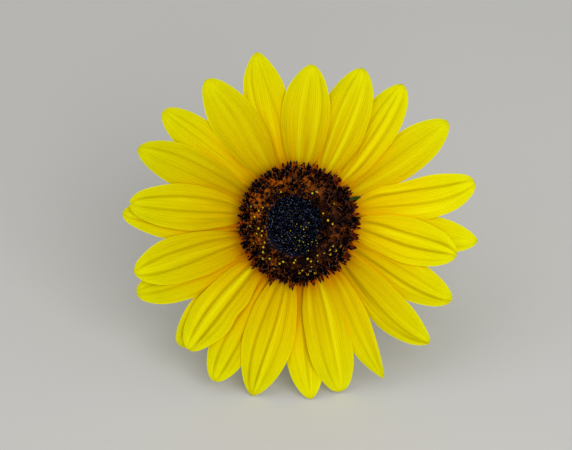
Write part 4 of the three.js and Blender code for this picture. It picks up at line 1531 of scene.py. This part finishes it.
def area_light(name, power, size, away, distance):
    """A soft light that looks at the head, from a direction given in the head's frame."""
    away = (HEAD.to_3x3() @ Vector(away)).normalized()
    light = bpy.data.lights.new(name, "AREA")
    light.energy = power
    light.size = size
    made = in_scene(name, light)
    made.location = HEAD_CENTRE + away * distance
    made.rotation_euler = (-away).to_track_quat("-Z", "Y").to_euler()


class SUNFLOWER_OT_stage(bpy.types.Operator):
    """Builds the plain floor, the soft lights and the camera, which looks straight at the flower's face"""

    bl_idname = "sunflower.stage"
    bl_label = "Stage"

    def execute(self, context):
        scene = context.scene
        props = scene.sunflower_stage
        half = props.floor_size / 2
        corners = [(-half, -half, 0), (half, -half, 0), (half, half, 0), (-half, half, 0)]
        material, tree, shader = new_material("Floor", Roughness=0.9, Specular_IOR_Level=0.1)
        dark = mixed(props.floor_colour, (0, 0, 0, 1), 0.03)
        shader("Base Color", mix_colour(tree, mottling(tree, 3.0, 0.2), dark, props.floor_colour))
        floor = new_object("stage_floor", corners, [(0, 1, 2, 3)], [material])
        floor.data.transform(Matrix.Translation((0, 0, -FLOOR_DROP * MM)))
        floor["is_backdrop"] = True
        area_light("Key light", props.key_power, size=1.0, away=(0.36, -0.04, 0.93), distance=1.2)
        area_light("Fill light", props.fill_power, size=1.4, away=(-0.5, 0.6, 0.7), distance=1.6)
        world = bpy.data.worlds.new("Pale studio")
        scene.world = world
        world.use_nodes = True
        sky = world.node_tree.nodes["Background"].inputs
        sky["Color"].default_value = (1, 1, 1, 1)
        sky["Strength"].default_value = props.sky_strength
        scene.view_settings.view_transform = "Standard"
        camera = bpy.data.cameras.new("Camera")
        camera.sensor_width = 36
        camera.lens = camera.sensor_width * props.camera_distance / props.view_width
        camera.clip_start, camera.clip_end = 0.05, 20
        scene.camera = in_scene("Camera", camera)
        picture_centre = HEAD @ Vector((PICTURE_CENTRE[0] * MM, PICTURE_CENTRE[1] * MM, 0))
        axis = HEAD.to_3x3() @ Vector((0, 0, 1))
        scene.camera.location = picture_centre + axis * props.camera_distance
        scene.camera.rotation_euler = axis.to_track_quat("Z", "Y").to_euler()
        return {"FINISHED"}


class SUNFLOWER_PT_panel(bpy.types.Panel):
    """Lists the flower's pieces and their sizes and colours"""

    bl_idname = "SUNFLOWER_PT_panel"
    bl_label = "Sunflower"
    bl_space_type = "VIEW_3D"
    bl_region_type = "UI"
    bl_category = "Sunflower"

    def draw(self, context):
        for operator in OPERATORS:
            self.layout.operator(operator.bl_idname)
        for name in PROPERTY_GROUPS:
            box = self.layout.box()
            props = getattr(context.scene, name)
            for key in props.__annotations__:
                box.prop(props, key)


OPERATORS = [
    SUNFLOWER_OT_stage,
    SUNFLOWER_OT_ray_petals,
    SUNFLOWER_OT_disc_buds,
    SUNFLOWER_OT_disc_florets,
    SUNFLOWER_OT_pollen,
    SUNFLOWER_OT_receptacle,
    SUNFLOWER_OT_stem,
]
PROPERTY_GROUPS = {
    "sunflower_petals": SunflowerPetals,
    "sunflower_disc": SunflowerDisc,
    "sunflower_greens": SunflowerGreens,
    "sunflower_stage": SunflowerStage,
}
CLASSES = [*PROPERTY_GROUPS.values(), *OPERATORS, SUNFLOWER_PT_panel]


def register():
    for cls in CLASSES:
        bpy.utils.register_class(cls)
    for name, cls in PROPERTY_GROUPS.items():
        setattr(bpy.types.Scene, name, PointerProperty(type=cls))


def unregister():
    for name in PROPERTY_GROUPS:
        delattr(bpy.types.Scene, name)
    for cls in reversed(CLASSES):
        bpy.utils.unregister_class(cls)


def main():
    """Builds everything in order."""
    register()
    for operator in OPERATORS:
        category, name = operator.bl_idname.split(".")
        getattr(getattr(bpy.ops, category), name)()
    boxes = {"cad": CAD_BOX, "visual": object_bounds()}
    {key: [list(corner) for corner in box] for key, box in boxes.items()}


if __name__ == "__main__":
    main()
